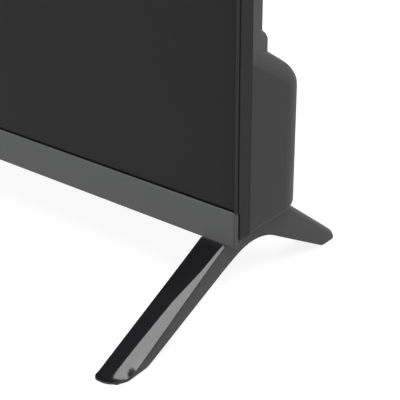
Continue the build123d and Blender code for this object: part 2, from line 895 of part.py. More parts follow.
def pan_screw(x, z, seat, length, head_radius, head_height, direction):
    """A pan head screw along Y, its head on the side that direction gives."""
    head = rod_y(head_radius, x, z, min(seat, seat + direction * head_height),
                 max(seat, seat + direction * head_height))
    face = head.faces().sort_by(Axis.Y)[-1 if direction > 0 else 0]
    head = fillet(face.edges(), head_height / 2)
    shank = rod_y(screw_radius, x, z, min(seat, seat - direction * length), max(seat, seat - direction * length))
    slot = head_height / 2
    face_y = seat + direction * head_height
    for wide, tall in ((head_radius, slot / 2), (slot / 2, head_radius)):
        head -= block(x - wide / 2, x + wide / 2, face_y - slot, face_y + slot, z - tall / 2, z + tall / 2)
    return head + shank


def cover_screws():
    """The screws that hold the rear cover on."""
    return [pan_screw(x, z, screw_seat, screw_length, screw_head_radius, screw_head_height, 1)
            for x, z in cover_screw_places() + well_places()]


def board_screws():
    """The screws that hold the boards, and the key board."""
    screws = [pan_screw(x, z, board_back, board_screw_length, board_screw_head_radius,
                        board_screw_head_height, 1) for x, z in board_screw_places()]
    for x, z in key_boss_places():
        screws.append(pan_screw(x, z, key_board_front(), key_screw_length, board_screw_head_radius,
                                board_screw_head_height, -1))
    return screws


def board(left, right):
    """A circuit board with holes for its screws."""
    sheet = block(left, right, board_front, board_back, board_lift, board_lift + board_height)
    for x, z in board_screw_places():
        sheet -= rod_y(screw_radius + seat_gap, x, z, board_front - overrun, board_back + overrun)
    return sheet


def on_board(left, width, share):
    """The X and Z of a share of a board's width and height."""
    return left + share[0] * width, board_lift + share[1] * board_height


def plug(x, z):
    """A wire connector standing on a board."""
    return block(x - plug_width / 2, x + plug_width / 2, board_back, board_back + plug_depth,
                 z - plug_height / 2, z + plug_height / 2)


def main_board():
    """The main board, with the ribbon's socket and the wire connectors."""
    part = board(main_left, main_right)
    x0 = main_right - 2 * ribbon_width
    part += block(x0, x0 + ribbon_width, board_back - hair_gap, board_back + ribbon_plug_depth - ribbon_thickness,
                  board_lift, board_lift + ribbon_plug_height)
    return part + [plug(x, z) for x, z in main_plugs()]


def main_plugs():
    """The places of the main board's wire connectors."""
    far = main_right - plug_width
    middle = board_lift + board_height / 2
    top = board_lift + board_height - 2 * plug_height
    return [(far, middle), (main_left + main_board_width / 2, top), (far, board_lift + 2 * plug_height)]


def main_chips():
    """The chips on the main board."""
    chips = []
    for share, side_share in zip(chip_place_shares, chip_side_shares):
        x, z = on_board(main_left, main_board_width, share)
        half = side_share * board_height / 2
        chips.append(block(x - half, x + half, board_back, board_back + chip_height, z - half, z + half))
    return chips


def main_cooler():
    """The finned cooler over the main chip."""
    x, z = on_board(main_left, main_board_width, cooler_place_share)
    half = cooler_side / 2
    start = board_back
    cooler = block(x - half, x + half, start, start + cooler_base, z - half, z + half)
    for fin_x in spread(cooler_fin_count, cooler_side / cooler_fin_count, x):
        cooler += block(fin_x - cooler_fin_thickness / 2, fin_x + cooler_fin_thickness / 2, start,
                        start + cooler_base + cooler_fin_height, z - half, z + half)
    return cooler


def hdmi_sockets():
    """The picture and sound sockets."""
    sockets = []
    for z in hdmi_places:
        y = board_back + hdmi_height / 2
        shell = block(mouth_x, mouth_x + hdmi_length, board_back, board_back + hdmi_height,
                      z - hdmi_width / 2, z + hdmi_width / 2)
        sockets.append(shell - block(mouth_x - overrun, mouth_x + hdmi_mouth_depth, y - hdmi_mouth_height / 2,
                                     y + hdmi_mouth_height / 2, z - hdmi_mouth_width / 2,
                                     z + hdmi_mouth_width / 2))
    return sockets


def usb_socket():
    """The memory stick socket."""
    y = board_back + usb_height / 2
    shell = block(mouth_x, mouth_x + usb_length, board_back, board_back + usb_height,
                  usb_place - usb_width / 2, usb_place + usb_width / 2)
    return shell - block(mouth_x - overrun, mouth_x + usb_mouth_depth, y - usb_mouth_height / 2,
                         y + usb_mouth_height / 2, usb_place - usb_mouth_width / 2,
                         usb_place + usb_mouth_width / 2)


def audio_jacks():
    """The two round audio jacks."""
    jacks = []
    for z in jack_places:
        y = board_back + jack_height / 2
        body = block(mouth_x, mouth_x + jack_length, board_back, board_back + jack_height,
                     z - jack_width / 2, z + jack_width / 2)
        jacks.append(body - rod_x(jack_bore_radius, y, z, mouth_x - overrun, mouth_x + jack_bore_depth))
    return jacks


def antenna_socket():
    """The aerial socket, a barrel on a screened block."""
    y = board_back + antenna_block / 2
    start = mouth_x + cover_wall
    body = block(start, start + antenna_block_length, board_back, board_back + antenna_block,
                 antenna_place - antenna_block / 2, antenna_place + antenna_block / 2)
    collar = pocket_right - seat_gap
    body += rod_x(antenna_neck_radius, y, antenna_place, collar - hair_gap, start + hair_gap)
    body += rod_x(antenna_barrel_radius, y, antenna_place, mouth_x - antenna_barrel_length, collar)
    return body - rod_x(antenna_bore_radius, y, antenna_place, mouth_x - antenna_barrel_length - overrun,
                        mouth_x - antenna_barrel_length + antenna_bore_depth)


def power_board():
    """The power board with its wire connectors."""
    return board(power_left, power_right) + [plug(x, z) for x, z in power_plugs()]


def power_plugs():
    """The places of the power board's wire connectors."""
    low = board_lift + 2 * plug_height
    top = board_lift + board_height - 2 * plug_height
    return [(power_left + plug_width, board_lift + board_height / 2), (power_left + 2 * plug_width, top),
            (power_right - plug_width, low)]


def power_transformer():
    """The transformer: a core with its winding through it."""
    x, z = on_board(power_left, power_board_width, transformer_place_share)
    half_w = transformer_width / 2
    half_h = transformer_height / 2
    core = block(x - half_w, x + half_w, board_back, board_back + transformer_depth,
                 z - transformer_core, z + transformer_core)
    winding = block(x - half_w * 3 / 4, x + half_w * 3 / 4, board_back, board_back + transformer_depth * 3 / 4,
                    z - half_h, z + half_h)
    return core + winding


def power_capacitors():
    """The upright capacitors on the power board."""
    cans = []
    groups = ((capacitor_place_shares, capacitor_radius, capacitor_depth),
              (small_capacitor_place_shares, small_capacitor_radius, small_capacitor_depth))
    for shares, radius, depth in groups:
        for share in shares:
            x, z = on_board(power_left, power_board_width, share)
            can = rod_y(radius, x, z, board_back, board_back + depth)
            cans.append(fillet(can.faces().sort_by(Axis.Y)[-1].edges(), radius / 8))
    return cans


def power_cooler():
    """The bent plate that cools the power board's switches."""
    x, z = on_board(power_left, power_board_width, sink_place_share)
    half = sink_width / 2
    plate = block(x - half, x + half, board_back, board_back + sink_depth, z, z + sink_thickness)
    return plate + block(x - half, x + half, board_back + sink_depth - sink_thickness, board_back + sink_depth,
                         z - sink_depth / 4, z + sink_thickness)


def ac_inlet():
    """The mains inlet, a cup with a flange outside the cover."""
    flange_start = bulge_depth
    flange = block(inlet_x - inlet_flange_width / 2, inlet_x + inlet_flange_width / 2, flange_start,
                   flange_start + inlet_flange_thickness, inlet_z - inlet_flange_height / 2,
                   inlet_z + inlet_flange_height / 2)
    flange = fillet(flange.edges().filter_by(Axis.Y), inlet_flange_thickness)
    body = block(inlet_x - inlet_body_width / 2, inlet_x + inlet_body_width / 2, inlet_back,
                 flange_start + hair_gap, inlet_z - inlet_body_height / 2, inlet_z + inlet_body_height / 2)
    end = flange_start + inlet_flange_thickness
    mouth = block(inlet_x - inlet_mouth_width / 2, inlet_x + inlet_mouth_width / 2, end - inlet_mouth_depth,
                  end + overrun, inlet_z - inlet_mouth_height / 2, inlet_z + inlet_mouth_height / 2)
    mouth = fillet(mouth.edges().filter_by(Axis.Y), inlet_mouth_height * 2 / 5)
    holes = [rod_y(inlet_pin_radius + hair_gap, x, inlet_z, inlet_back - overrun, end) for x in inlet_pin_xs()]
    return flange + body - mouth - holes


def inlet_pin_xs():
    """The two pins' places across the inlet."""
    return [inlet_x - inlet_pin_spacing / 2, inlet_x + inlet_pin_spacing / 2]


def inlet_pins():
    """The inlet's contact pins, with their tails behind."""
    end = bulge_depth + inlet_flange_thickness - inlet_mouth_depth + inlet_pin_length
    pins = []
    for x in inlet_pin_xs():
        pin = rod_y(inlet_pin_radius, x, inlet_z, inlet_back - inlet_tail, end)
        pins.append(fillet(pin.faces().sort_by(Axis.Y)[-1].edges(), inlet_pin_radius / 2))
    return pins


def wire(points):
    """A round wire along straight runs joined by arcs."""
    path = FilletPolyline(*points, radius=wire_bend)
    plane = Plane(origin=path @ 0, z_dir=path % 0)
    return sweep(plane * Circle(wire_radius), path=path)


def mains_leads():
    """The two wires from the inlet's tails to the power board."""
    x_plug, z_plug = power_plugs()[2]
    y_plug = board_back + plug_depth
    y_tail = inlet_back - inlet_tail
    leads = []
    for i, x in enumerate(inlet_pin_xs()):
        y_run = y_plug + 2 * wire_bend + i * wire_lane
        end_x = x_plug + (i - 1 / 2) * wire_lane
        leads.append(wire([(x, y_tail, inlet_z), (x, y_run, inlet_z), (end_x, y_run, z_plug),
                           (end_x, y_plug, z_plug)]))
    return leads


def board_harness():
    """The wires between the power board and the main board."""
    x0, z0 = main_plugs()[0]
    x1, z1 = power_plugs()[0]
    y = board_back + plug_depth
    return [wire([(x0, y, z0 + lane), (x0, y + wire_rise, z0 + lane), (x1, y + wire_rise, z1 + lane),
                  (x1, y, z1 + lane)]) for lane in spread(2, wire_lane)]


def led_harness():
    """The wires from the power board up to the tray's cable hole, and the plug in it."""
    x0, z0 = power_plugs()[1]
    y = board_back + plug_depth
    plug_back = tray_back + overrun
    harness = rod_y(led_plug_radius, led_hole_x, led_hole_z, tray_back - tray_sheet, plug_back)
    for lane in spread(2, wire_lane):
        x = x0 + lane
        end = led_hole_x + lane
        depth = led_wire_depth + lane
        harness += wire([(x, y, z0), (x, y + 2 * wire_bend, z0), (x, y + 2 * wire_bend, wire_shoulder_height),
                         (x, depth, led_hole_z), (end, depth, led_hole_z), (end, plug_back - hair_gap, led_hole_z)])
    return harness


def speaker_middle_y():
    """The depth of the middle of the speaker boxes."""
    return speaker_front + speaker_depth / 2


def speaker_box(side):
    """A speaker box, hollow, with a round hole below for its driver and ears for its grommets."""
    x = side * speaker_centre
    half = speaker_width / 2
    high = speaker_lift + speaker_height
    box = block(x - half, x + half, speaker_front, speaker_front + speaker_depth, speaker_lift, high)
    box = fillet(box.edges().filter_by(Axis.Z), speaker_wall)
    box -= block(x - half + speaker_wall, x + half - speaker_wall, speaker_front + speaker_wall,
                 speaker_front + speaker_depth - speaker_wall, speaker_lift + speaker_wall, high - speaker_wall)
    hole_radius = driver_radius - driver_rim_lip
    box -= rod_z(hole_radius, x, speaker_middle_y(), speaker_lift - overrun, speaker_lift + speaker_wall + overrun)
    return box


def speaker_driver(side):
    """A driver: rim, cone, basket and magnet, facing down."""
    rim_low = speaker_lift - driver_rim
    throat = driver_magnet_radius / 3
    inner = driver_radius - driver_rim_lip - seat_gap
    top = speaker_lift + driver_cone_drop
    outline = [(throat, top - driver_cone_wall), (inner - driver_rim_lip, rim_low),
               (driver_radius, rim_low), (driver_radius, speaker_lift), (inner, speaker_lift),
               (inner - driver_rim_lip, speaker_lift + driver_rim), (driver_magnet_radius, top),
               (driver_magnet_radius, top + driver_magnet_height), (0, top + driver_magnet_height),
               (0, top - driver_cone_wall)]
    profile = make_face(Polyline(*[(r, 0, z) for r, z in outline], close=True))
    return Pos(side * speaker_centre, speaker_middle_y(), 0) * revolve(profile, Axis.Z)


def speaker_grommets():
    """The rubber feet that the speaker boxes stand on inside the cover."""
    low = frame_lift + cover_wall
    rubbers = []
    for side in (-1, 1):
        for end in (-1, 1):
            x = side * speaker_centre + end * (speaker_width / 2 - 2 * grommet_radius)
            rubbers.append(rod_z(grommet_radius, x, speaker_middle_y(), low, speaker_lift))
    return rubbers


def speaker_harness():
    """The wires from the main board to each speaker, over the boards' top edges."""
    x0, z0 = main_plugs()[1]
    y = board_back + plug_depth
    middle = speaker_middle_y()
    wires = []
    for side in (-1, 1):
        x = x0 + side * wire_lane / 2
        end = side * (speaker_centre - speaker_width / 4)
        wires.append(wire([(x, y, z0), (x, y + 2 * wire_bend, z0), (x, y + 2 * wire_bend, wire_shoulder_height),
                           (x, wire_top_depth, wire_top_height), (end, wire_top_depth, wire_top_height),
                           (end, middle, wire_dive_height), (end, middle, speaker_lift + speaker_height)]))
    return wires


def key_harness():
    """The wires from the key board, in front of the port pocket and between the boards, to the main board."""
    x0, z0 = main_plugs()[2]
    y = board_back + plug_depth
    start = key_x + key_board_width / 3
    y_key = key_board_front()
    gap_x = main_right + board_gap / 2
    wires = []
    for lane in spread(2, wire_lane):
        z = z0 + lane
        y_side = (y_key + speaker_front + speaker_depth) / 2
        wires.append(wire([(start, y_key, z), (start, y_side, z), (key_wire_x, y_side, z),
                           (key_wire_x, key_wire_depth, z), (gap_x, key_wire_depth, z),
                           (gap_x, y + wire_rise, z), (x0, y + wire_rise, z), (x0, y, z)]))
    return wires


def push_key(z):
    """A key: a cap through the cover, a flange behind it and a stem to its switch."""
    inner = bulge_depth - cover_wall - seat_gap
    half_w = key_width / 2
    half_h = key_height / 2
    cap = block(key_x - half_w, key_x + half_w, inner - hair_gap, bulge_depth + key_proud, z - half_h, z + half_h)
    cap = fillet(cap.edges().filter_by(Axis.Y), key_corner)
    cap = fillet(cap.faces().sort_by(Axis.Y)[-1].edges(), key_corner / 2)
    rim = key_flange_rim
    flange = block(key_x - half_w - rim, key_x + half_w + rim, inner - key_flange_thickness, inner,
                   z - half_h - rim, z + half_h + rim)
    stem_end = inner - key_flange_thickness - key_travel - seat_gap - switch_depth / 2
    return cap + flange + rod_y(key_stem_radius, key_x, z, stem_end, inner - key_flange_thickness + hair_gap)


def key_switches():
    """The small switches behind the keys."""
    start = key_board_front() + key_board_thickness
    switches = []
    for z in key_heights():
        half = switch_side / 2
        body = block(key_x - half, key_x + half, start, start + switch_depth, z - half, z + half)
        switches.append(body - rod_y(key_stem_radius + switch_bore_gap, key_x, z, start + switch_depth / 8,
                                     start + switch_depth + overrun))
    return switches


def key_board():
    """The board that carries the switches."""
    low = key_low - key_board_margin
    high = key_heights()[-1] + key_board_margin
    front = key_board_front()
    sheet = block(key_x - key_board_width / 2, key_x + key_board_width / 2, front, front + key_board_thickness,
                  low, high)
    for x, z in key_boss_places():
        sheet -= rod_y(screw_radius + seat_gap, x, z, front - overrun, front + key_board_thickness + overrun)
    return sheet


def eye_lens():
    """The dark window for the remote control, hanging through the chin."""
    half = eye_width / 2
    lens = block(-half, half, eye_front, eye_front + eye_depth, -eye_drop, chin_return_thickness + hair_gap)
    lens = fillet(lens.edges().filter_by(Axis.Y).group_by(Axis.Z)[0], eye_drop / 2)
    flange = block(-half - eye_flange, half + eye_flange, eye_front - eye_flange / 2,
                   eye_front + eye_depth + eye_flange / 2, chin_return_thickness,
                   chin_return_thickness + eye_flange_thickness)
    return lens + flange


def eye_board():
    """The small board above the window."""
    half = eye_board_width / 2
    high = frame_lift - seat_gap
    sheet = block(-half, half, eye_front, eye_front + eye_board_depth, high - eye_board_thickness, high)
    low = chin_return_thickness + eye_flange_thickness + seat_gap
    return sheet + block(-eye_plug_width / 2, eye_plug_width / 2, eye_front, eye_front + eye_plug_depth,
                         low, high - eye_board_thickness + hair_gap)


def foot_side_points():
    """The wishbone seen from the side, as depth and height above the floor."""
    pad = pad_thickness
    under_chin = stand_height - seat_gap
    root = stand_height + root_top
    return [(-foot_front_reach, pad), (-foot_front_reach, foot_toe_thickness),
            (-foot_front_reach + foot_toe_length, foot_knee_height), (0, under_chin), (foot_notch, under_chin),
            (foot_notch, root), (foot_top_end, root), (foot_rear_reach - foot_heel_length, foot_heel_height),
            (foot_rear_reach, foot_heel_tip_height), (foot_rear_reach, pad), (foot_rear_pad_start, pad),
            (foot_crown_y, foot_crown_height), (-foot_front_pad_end, pad)]


def foot_blank(side):
    """The whole foot before the gloss cap is parted from it."""
    x = side * foot_x
    outline = make_face(Polyline(*[(0, y, z - stand_height) for y, z in foot_side_points()], close=True))
    crown_z = foot_crown_height - stand_height
    crown = outline.vertices().sort_by(lambda v: abs(v.Y - foot_crown_y) + abs(v.Z - crown_z))[0]
    outline = fillet(crown, foot_arch_round)
    blank = Pos(x - foot_width, 0, 0) * extrude(outline, amount=2 * foot_width, dir=(1, 0, 0))
    left = x - foot_width / 2
    right = x + foot_width / 2
    turn = side * foot_splay
    plan = make_face(Polyline((left + turn, -foot_front_reach), (right + turn, -foot_front_reach), (right, 0),
                              (right, foot_rear_reach), (left, foot_rear_reach), (left, 0), close=True))
    heel_tips = plan.vertices().filter_by(lambda v: v.Y > foot_notch)
    plan = fillet(heel_tips, foot_tip_round)
    toe_tips = plan.vertices().filter_by(lambda v: v.Y < -foot_notch).sort_by(lambda v: side * v.X)
    plan = fillet(toe_tips[0], foot_toe_inner_round)
    toe_corner = plan.vertices().filter_by(lambda v: v.Y < -foot_notch).sort_by(lambda v: side * v.X)[-1]
    plan = fillet(toe_corner, foot_toe_outer_round)
    return blank & (Pos(0, 0, -stand_height) * extrude(plan, amount=2 * stand_height))


def cap_space(side):
    """The space over the front leg that the gloss cap takes."""
    x = side * foot_x
    root = -seat_gap - cap_root_thickness
    toe = cap_toe_height - stand_height
    points = [(-foot_front_reach - overrun, toe), (-cap_knee_reach, toe), (0, root),
              (0, stand_height), (-foot_front_reach - overrun, stand_height)]
    return side_prism(points, x - foot_width, x + foot_width)


def cap_slope_section(side, reach, width):
    """One section of what the slope takes off the cap, at a distance before the foot's root."""
    drop = (stand_height - seat_gap - foot_knee_height) / (foot_front_reach - foot_toe_length)
    fall = (stand_height - seat_gap - cap_root_thickness - cap_toe_height) / cap_knee_reach
    high = -seat_gap - drop * reach
    low = max(-seat_gap - cap_root_thickness - fall * reach, cap_toe_height - stand_height) + cap_slope_rim
    rise = max(high - low, cap_slope_rim)
    edge = side * (foot_x + foot_width / 2 + foot_splay * reach / foot_front_reach)
    inner = edge - side * width * (1 + cap_slope_over)
    outer = edge + side * width * cap_slope_over
    top = low + rise * (1 + cap_slope_over)
    bottom = low - rise * cap_slope_over
    return make_face(Polyline((inner, -reach, top), (outer, -reach, top), (outer, -reach, bottom), close=True))


def cap_slope(side):
    """What is taken off the cap's outer top edge, so that it slopes to the seam."""
    stations = [(0, cap_slope_root_width), (cap_slope_growth, cap_slope_width), (cap_knee_reach, cap_slope_width),
                (foot_front_reach + overrun, cap_slope_width)]
    return loft([cap_slope_section(side, reach, width) for reach, width in stations], ruled=True)


def foot_screw_ys():
    """The places of the foot's screws along its tenon."""
    return [tenon_start + share * tenon_depth for share in foot_screw_share]


def foot(side):
    """The matt wishbone moulding, with its tenon and screw holes."""
    x = side * foot_x
    body = foot_blank(side)
    top_edges = [e for e in body.edges().filter_by(GeomType.LINE)
                 if e.center().Y > foot_top_end and e.center().Z > foot_knee_height - stand_height
                 and abs(e.tangent_at(0).X) < hair_gap and abs(e.tangent_at(0).Z) > hair_gap
                 and abs(e.center().X - x) > foot_width / 4
                 and e.length > foot_rear_reach / 3]
    top_edges = sorted(top_edges, key=lambda e: e.center().Z)[-2:]
    body = fillet(top_edges, foot_rear_edge_round)
    body -= cap_space(side)
    tenon = block(x - tenon_width / 2, x + tenon_width / 2, tenon_start, tenon_start + tenon_depth,
                  root_top - hair_gap, root_top + tenon_height)
    body += tenon
    for y in foot_screw_ys():
        body -= rod_z(foot_screw_radius + seat_gap, x, y, -stand_height, stand_height)
        body -= rod_z(foot_screw_head_radius + seat_gap, x, y, -stand_height, -foot_screw_seat)
    return body


def foot_cap(side):
    """The gloss cap over the front leg."""
    return (foot_blank(side) & cap_space(side)) - cap_slope(side)


def foot_pads():
    """The rubber pads under the tips of both feet."""
    low = -stand_height
    pads = []
    front = -foot_front_reach + pad_tip_gap
    rear = foot_rear_reach - pad_tip_gap - rear_pad_length + foot_heel_length / 2
    for side in (-1, 1):
        for start, length in ((front, front_pad_length), (rear, rear_pad_length)):
            shift = max(0, -foot_splay * (start + length / 2) / foot_front_reach)
            x = side * (foot_x + shift)
            pad = block(x - pad_width / 2, x + pad_width / 2, start, start + length, low, low + pad_thickness)
            pads.append(fillet(pad.edges().filter_by(Axis.Z), foot_tip_round / 2))
    return pads


def foot_bracket(side):
    """The bracket inside the bulge that takes the foot's tenon."""
    x = side * foot_x
    low = frame_lift + cover_wall + seat_gap
    start = tray_back
    end = tenon_start + tenon_depth + bracket_wall
    pocket_top = root_top + tenon_height + seat_gap
    body = block(x - bracket_width / 2, x + bracket_width / 2, start, end, low, pocket_top + bracket_cap)
    reach = tenon_width / 2 + seat_gap
    body -= block(x - reach, x + reach, tenon_start - seat_gap, tenon_start + tenon_depth + seat_gap,
                  low - overrun, pocket_top)
    for y in foot_screw_ys():
        body -= rod_z(foot_screw_radius + hair_gap, x, y, pocket_top - overrun, pocket_top + foot_screw_grip + seat_gap)
    return body


def foot_screws():
    """The screws up through the feet into their brackets."""
    top = root_top + tenon_height + seat_gap + foot_screw_grip
    screws = []
    for side in (-1, 1):
        for y in foot_screw_ys():
            head = rod_z(foot_screw_head_radius, side * foot_x, y, -foot_screw_seat - foot_screw_head_height,
                         -foot_screw_seat)
            head = fillet(head.faces().sort_by(Axis.Z)[0].edges(), foot_screw_head_height / 3)
            screws.append(head + rod_z(foot_screw_radius, side * foot_x, y, -foot_screw_seat - hair_gap, top))
    return screws


def save(name, shape):
    """Move a piece to the floor frame and write it."""
    solids = list(shape) if isinstance(shape, list) else [shape]
    middle = (foot_rear_reach - foot_front_reach) / 2
    placed = [Pos(0, -middle, stand_height) * solid for solid in solids]
    export_step(Compound(children=placed) if len(placed) > 1 else placed[0], f"parts/{name}.step")


def make_front():
    """Write the pieces seen from the front."""
    save("front_bezel", front_bezel())
    save("chin_trim", chin_trim())
    save("lcd_panel", lcd_panel())
    save("middle_frame", middle_frame())
    save("ir_window", eye_lens())
    save("ir_board", eye_board())


def make_light_unit():
    """Write the light unit and the panel's electronics."""
    save("optical_films", optical_films())
    save("diffuser_plate", diffuser_plate())
    save("backlight_tray", backlight_tray())
    save("reflector_sheet", reflector())
    save("led_bars", led_bars())
    save("led_lenses", led_lenses())
    save("diffuser_supports", diffuser_supports())
    save("source_board", source_board())
    save("flex_films", flex_films())
    save("ribbon_cable", ribbon_cable())


def make_electronics():
    """Write the boards, their pieces and the wires."""
    save("main_board", main_board())
    save("main_chips", main_chips())
    save("main_cooler", main_cooler())
    save("hdmi_sockets", hdmi_sockets())
    save("usb_socket", usb_socket())
    save("audio_jacks", audio_jacks())
    save("antenna_socket", antenna_socket())
    save("power_board", power_board())
    save("power_transformer", power_transformer())
    save("power_capacitors", power_capacitors())
    save("power_cooler", power_cooler())
    save("ac_inlet", ac_inlet())
    save("inlet_pins", inlet_pins())
    save("mains_leads", mains_leads())
    save("board_harness", board_harness())
    save("led_harness", led_harness())
    save("board_screws", board_screws())


def make_sound_and_keys():
    """Write the speakers and the push keys."""
    for side, word in ((-1, "left"), (1, "right")):
        save(f"speaker_box_{word}", speaker_box(side))
        save(f"speaker_driver_{word}", speaker_driver(side))
    save("speaker_grommets", speaker_grommets())
    save("speaker_harness", speaker_harness())
    for name, z in zip(key_names, key_heights()):
        save(name, push_key(z))
    save("key_switches", key_switches())
    save("key_board", key_board())
    save("key_harness", key_harness())


def make_case_and_feet():
    """Write the cover and what it is fixed and stood on."""
    housing = back_housing()
    save("rear_cover", housing - port_panel_zone() - inlet_plate_zone())
    save("port_panel", housing & port_panel_zone())
    save("inlet_plate", housing & inlet_plate_zone())
    save("vesa_inserts", vesa_inserts())
    save("cover_screws", cover_screws())
    for side, word in ((-1, "left"), (1, "right")):
        save(f"foot_{word}", foot(side))
        save(f"foot_cap_{word}", foot_cap(side))
        save(f"foot_bracket_{word}", foot_bracket(side))
    save("foot_pads", foot_pads())
    save("foot_screws", foot_screws())


os.makedirs("parts", exist_ok=True)
make_front()
make_light_unit()
make_electronics()
make_sound_and_keys()
make_case_and_feet()
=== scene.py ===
"""Looks of a flat screen television on two wishbone feet, in a plain studio.

The CAD frame gives every place and size. This script adds materials, modelled outside
pieces, the lights and a camera at the photograph's viewing angle. Lengths are in metres,
and the object's own ones are written as millimetres times MM.
"""

import json
import logging
import math
from collections.abc import Callable
from dataclasses import dataclass
from enum import Enum

import bmesh
import bpy
from mathutils import Matrix, Vector


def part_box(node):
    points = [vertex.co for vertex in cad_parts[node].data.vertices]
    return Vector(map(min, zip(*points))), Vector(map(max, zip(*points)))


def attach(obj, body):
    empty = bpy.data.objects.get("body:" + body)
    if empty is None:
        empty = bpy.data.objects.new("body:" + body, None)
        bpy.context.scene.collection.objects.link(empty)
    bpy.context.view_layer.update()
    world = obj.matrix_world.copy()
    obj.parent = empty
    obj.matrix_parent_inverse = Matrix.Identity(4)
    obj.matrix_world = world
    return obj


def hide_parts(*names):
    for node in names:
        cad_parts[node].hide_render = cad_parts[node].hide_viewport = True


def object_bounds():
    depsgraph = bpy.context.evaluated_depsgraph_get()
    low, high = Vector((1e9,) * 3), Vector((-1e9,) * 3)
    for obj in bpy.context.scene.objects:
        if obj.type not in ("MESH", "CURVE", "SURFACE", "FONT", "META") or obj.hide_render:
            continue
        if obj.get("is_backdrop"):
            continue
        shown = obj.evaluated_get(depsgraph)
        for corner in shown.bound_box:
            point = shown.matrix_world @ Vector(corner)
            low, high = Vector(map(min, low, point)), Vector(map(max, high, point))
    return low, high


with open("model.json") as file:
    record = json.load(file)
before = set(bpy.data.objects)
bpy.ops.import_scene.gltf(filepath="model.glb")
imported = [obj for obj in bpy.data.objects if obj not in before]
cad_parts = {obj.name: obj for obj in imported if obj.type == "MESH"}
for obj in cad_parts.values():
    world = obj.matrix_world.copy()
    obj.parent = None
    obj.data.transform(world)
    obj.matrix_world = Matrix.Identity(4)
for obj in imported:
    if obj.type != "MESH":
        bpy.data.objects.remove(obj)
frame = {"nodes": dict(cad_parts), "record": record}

LOG = logging.getLogger("television")
MM = 0.001
QUARTER = 90
Point = tuple[float, float]
Triple = tuple[float, float, float]
EVEN: Triple = (1.0, 1.0, 1.0)
WHITE = (1.0, 1.0, 1.0, 1.0)
Height = Callable[[float], float]
Edge = Callable[[float], tuple[float, bool]]


def placed(name: str, data: bpy.types.ID) -> bpy.types.Object:
    """Put new data into the scene.

    Args:
        name: the object's name.
        data: its mesh, lamp or camera.

    Returns:
        The object.
    """
    obj = bpy.data.objects.new(name, data)
    bpy.context.scene.collection.objects.link(obj)
    return obj


class Sock:
    """One value in a shader, with arithmetic that adds math nodes."""

    def __init__(self, tree: "Tree", socket: bpy.types.NodeSocket) -> None:
        """Keep the tree that new nodes go to, and the output that holds this value."""
        self.tree = tree
        self.socket = socket

    def _math(self, operation: str, first: "Sock | float", second: "Sock | float") -> "Sock":
        """Add a math node for two values, and return its result."""
        return self.tree.node("ShaderNodeMath", {"operation": operation}, {0: first, 1: second})

    def __add__(self, other: "Sock | float") -> "Sock":
        """Return the sum."""
        return self._math("ADD", self, other)

    def __radd__(self, other: float) -> "Sock":
        """Return the sum with a number before it."""
        return self._math("ADD", other, self)

    def __sub__(self, other: "Sock | float") -> "Sock":
        """Return the difference."""
        return self._math("SUBTRACT", self, other)

    def __rsub__(self, other: float) -> "Sock":
        """Return the difference from a number."""
        return self._math("SUBTRACT", other, self)

    def __mul__(self, other: "Sock | float") -> "Sock":
        """Return the product."""
        return self._math("MULTIPLY", self, other)

    def __rmul__(self, other: float) -> "Sock":
        """Return the product with a number before it."""
        return self._math("MULTIPLY", other, self)

    def __lt__(self, other: "Sock | float") -> "Sock":
        """Return 1 where the value is less, and 0 elsewhere."""
        return self._math("LESS_THAN", self, other)

    def __gt__(self, other: "Sock | float") -> "Sock":
        """Return 1 where the value is greater, and 0 elsewhere."""
        return self._math("GREATER_THAN", self, other)

    def absolute(self) -> "Sock":
        """Return the value without its sign."""
        return self._math("ABSOLUTE", self, 0.0)

    def step(self, low: float, high: float) -> "Sock":
        """Rise smoothly from 0 at low to 1 at high.

        Args:
            low: where the rise starts.
            high: where it ends.

        Returns:
            The smooth step.
        """
        return self.tree.node(
            "ShaderNodeMapRange",
            {"interpolation_type": "SMOOTHSTEP"},
            {"Value": self, "From Min": low, "From Max": high},
        )


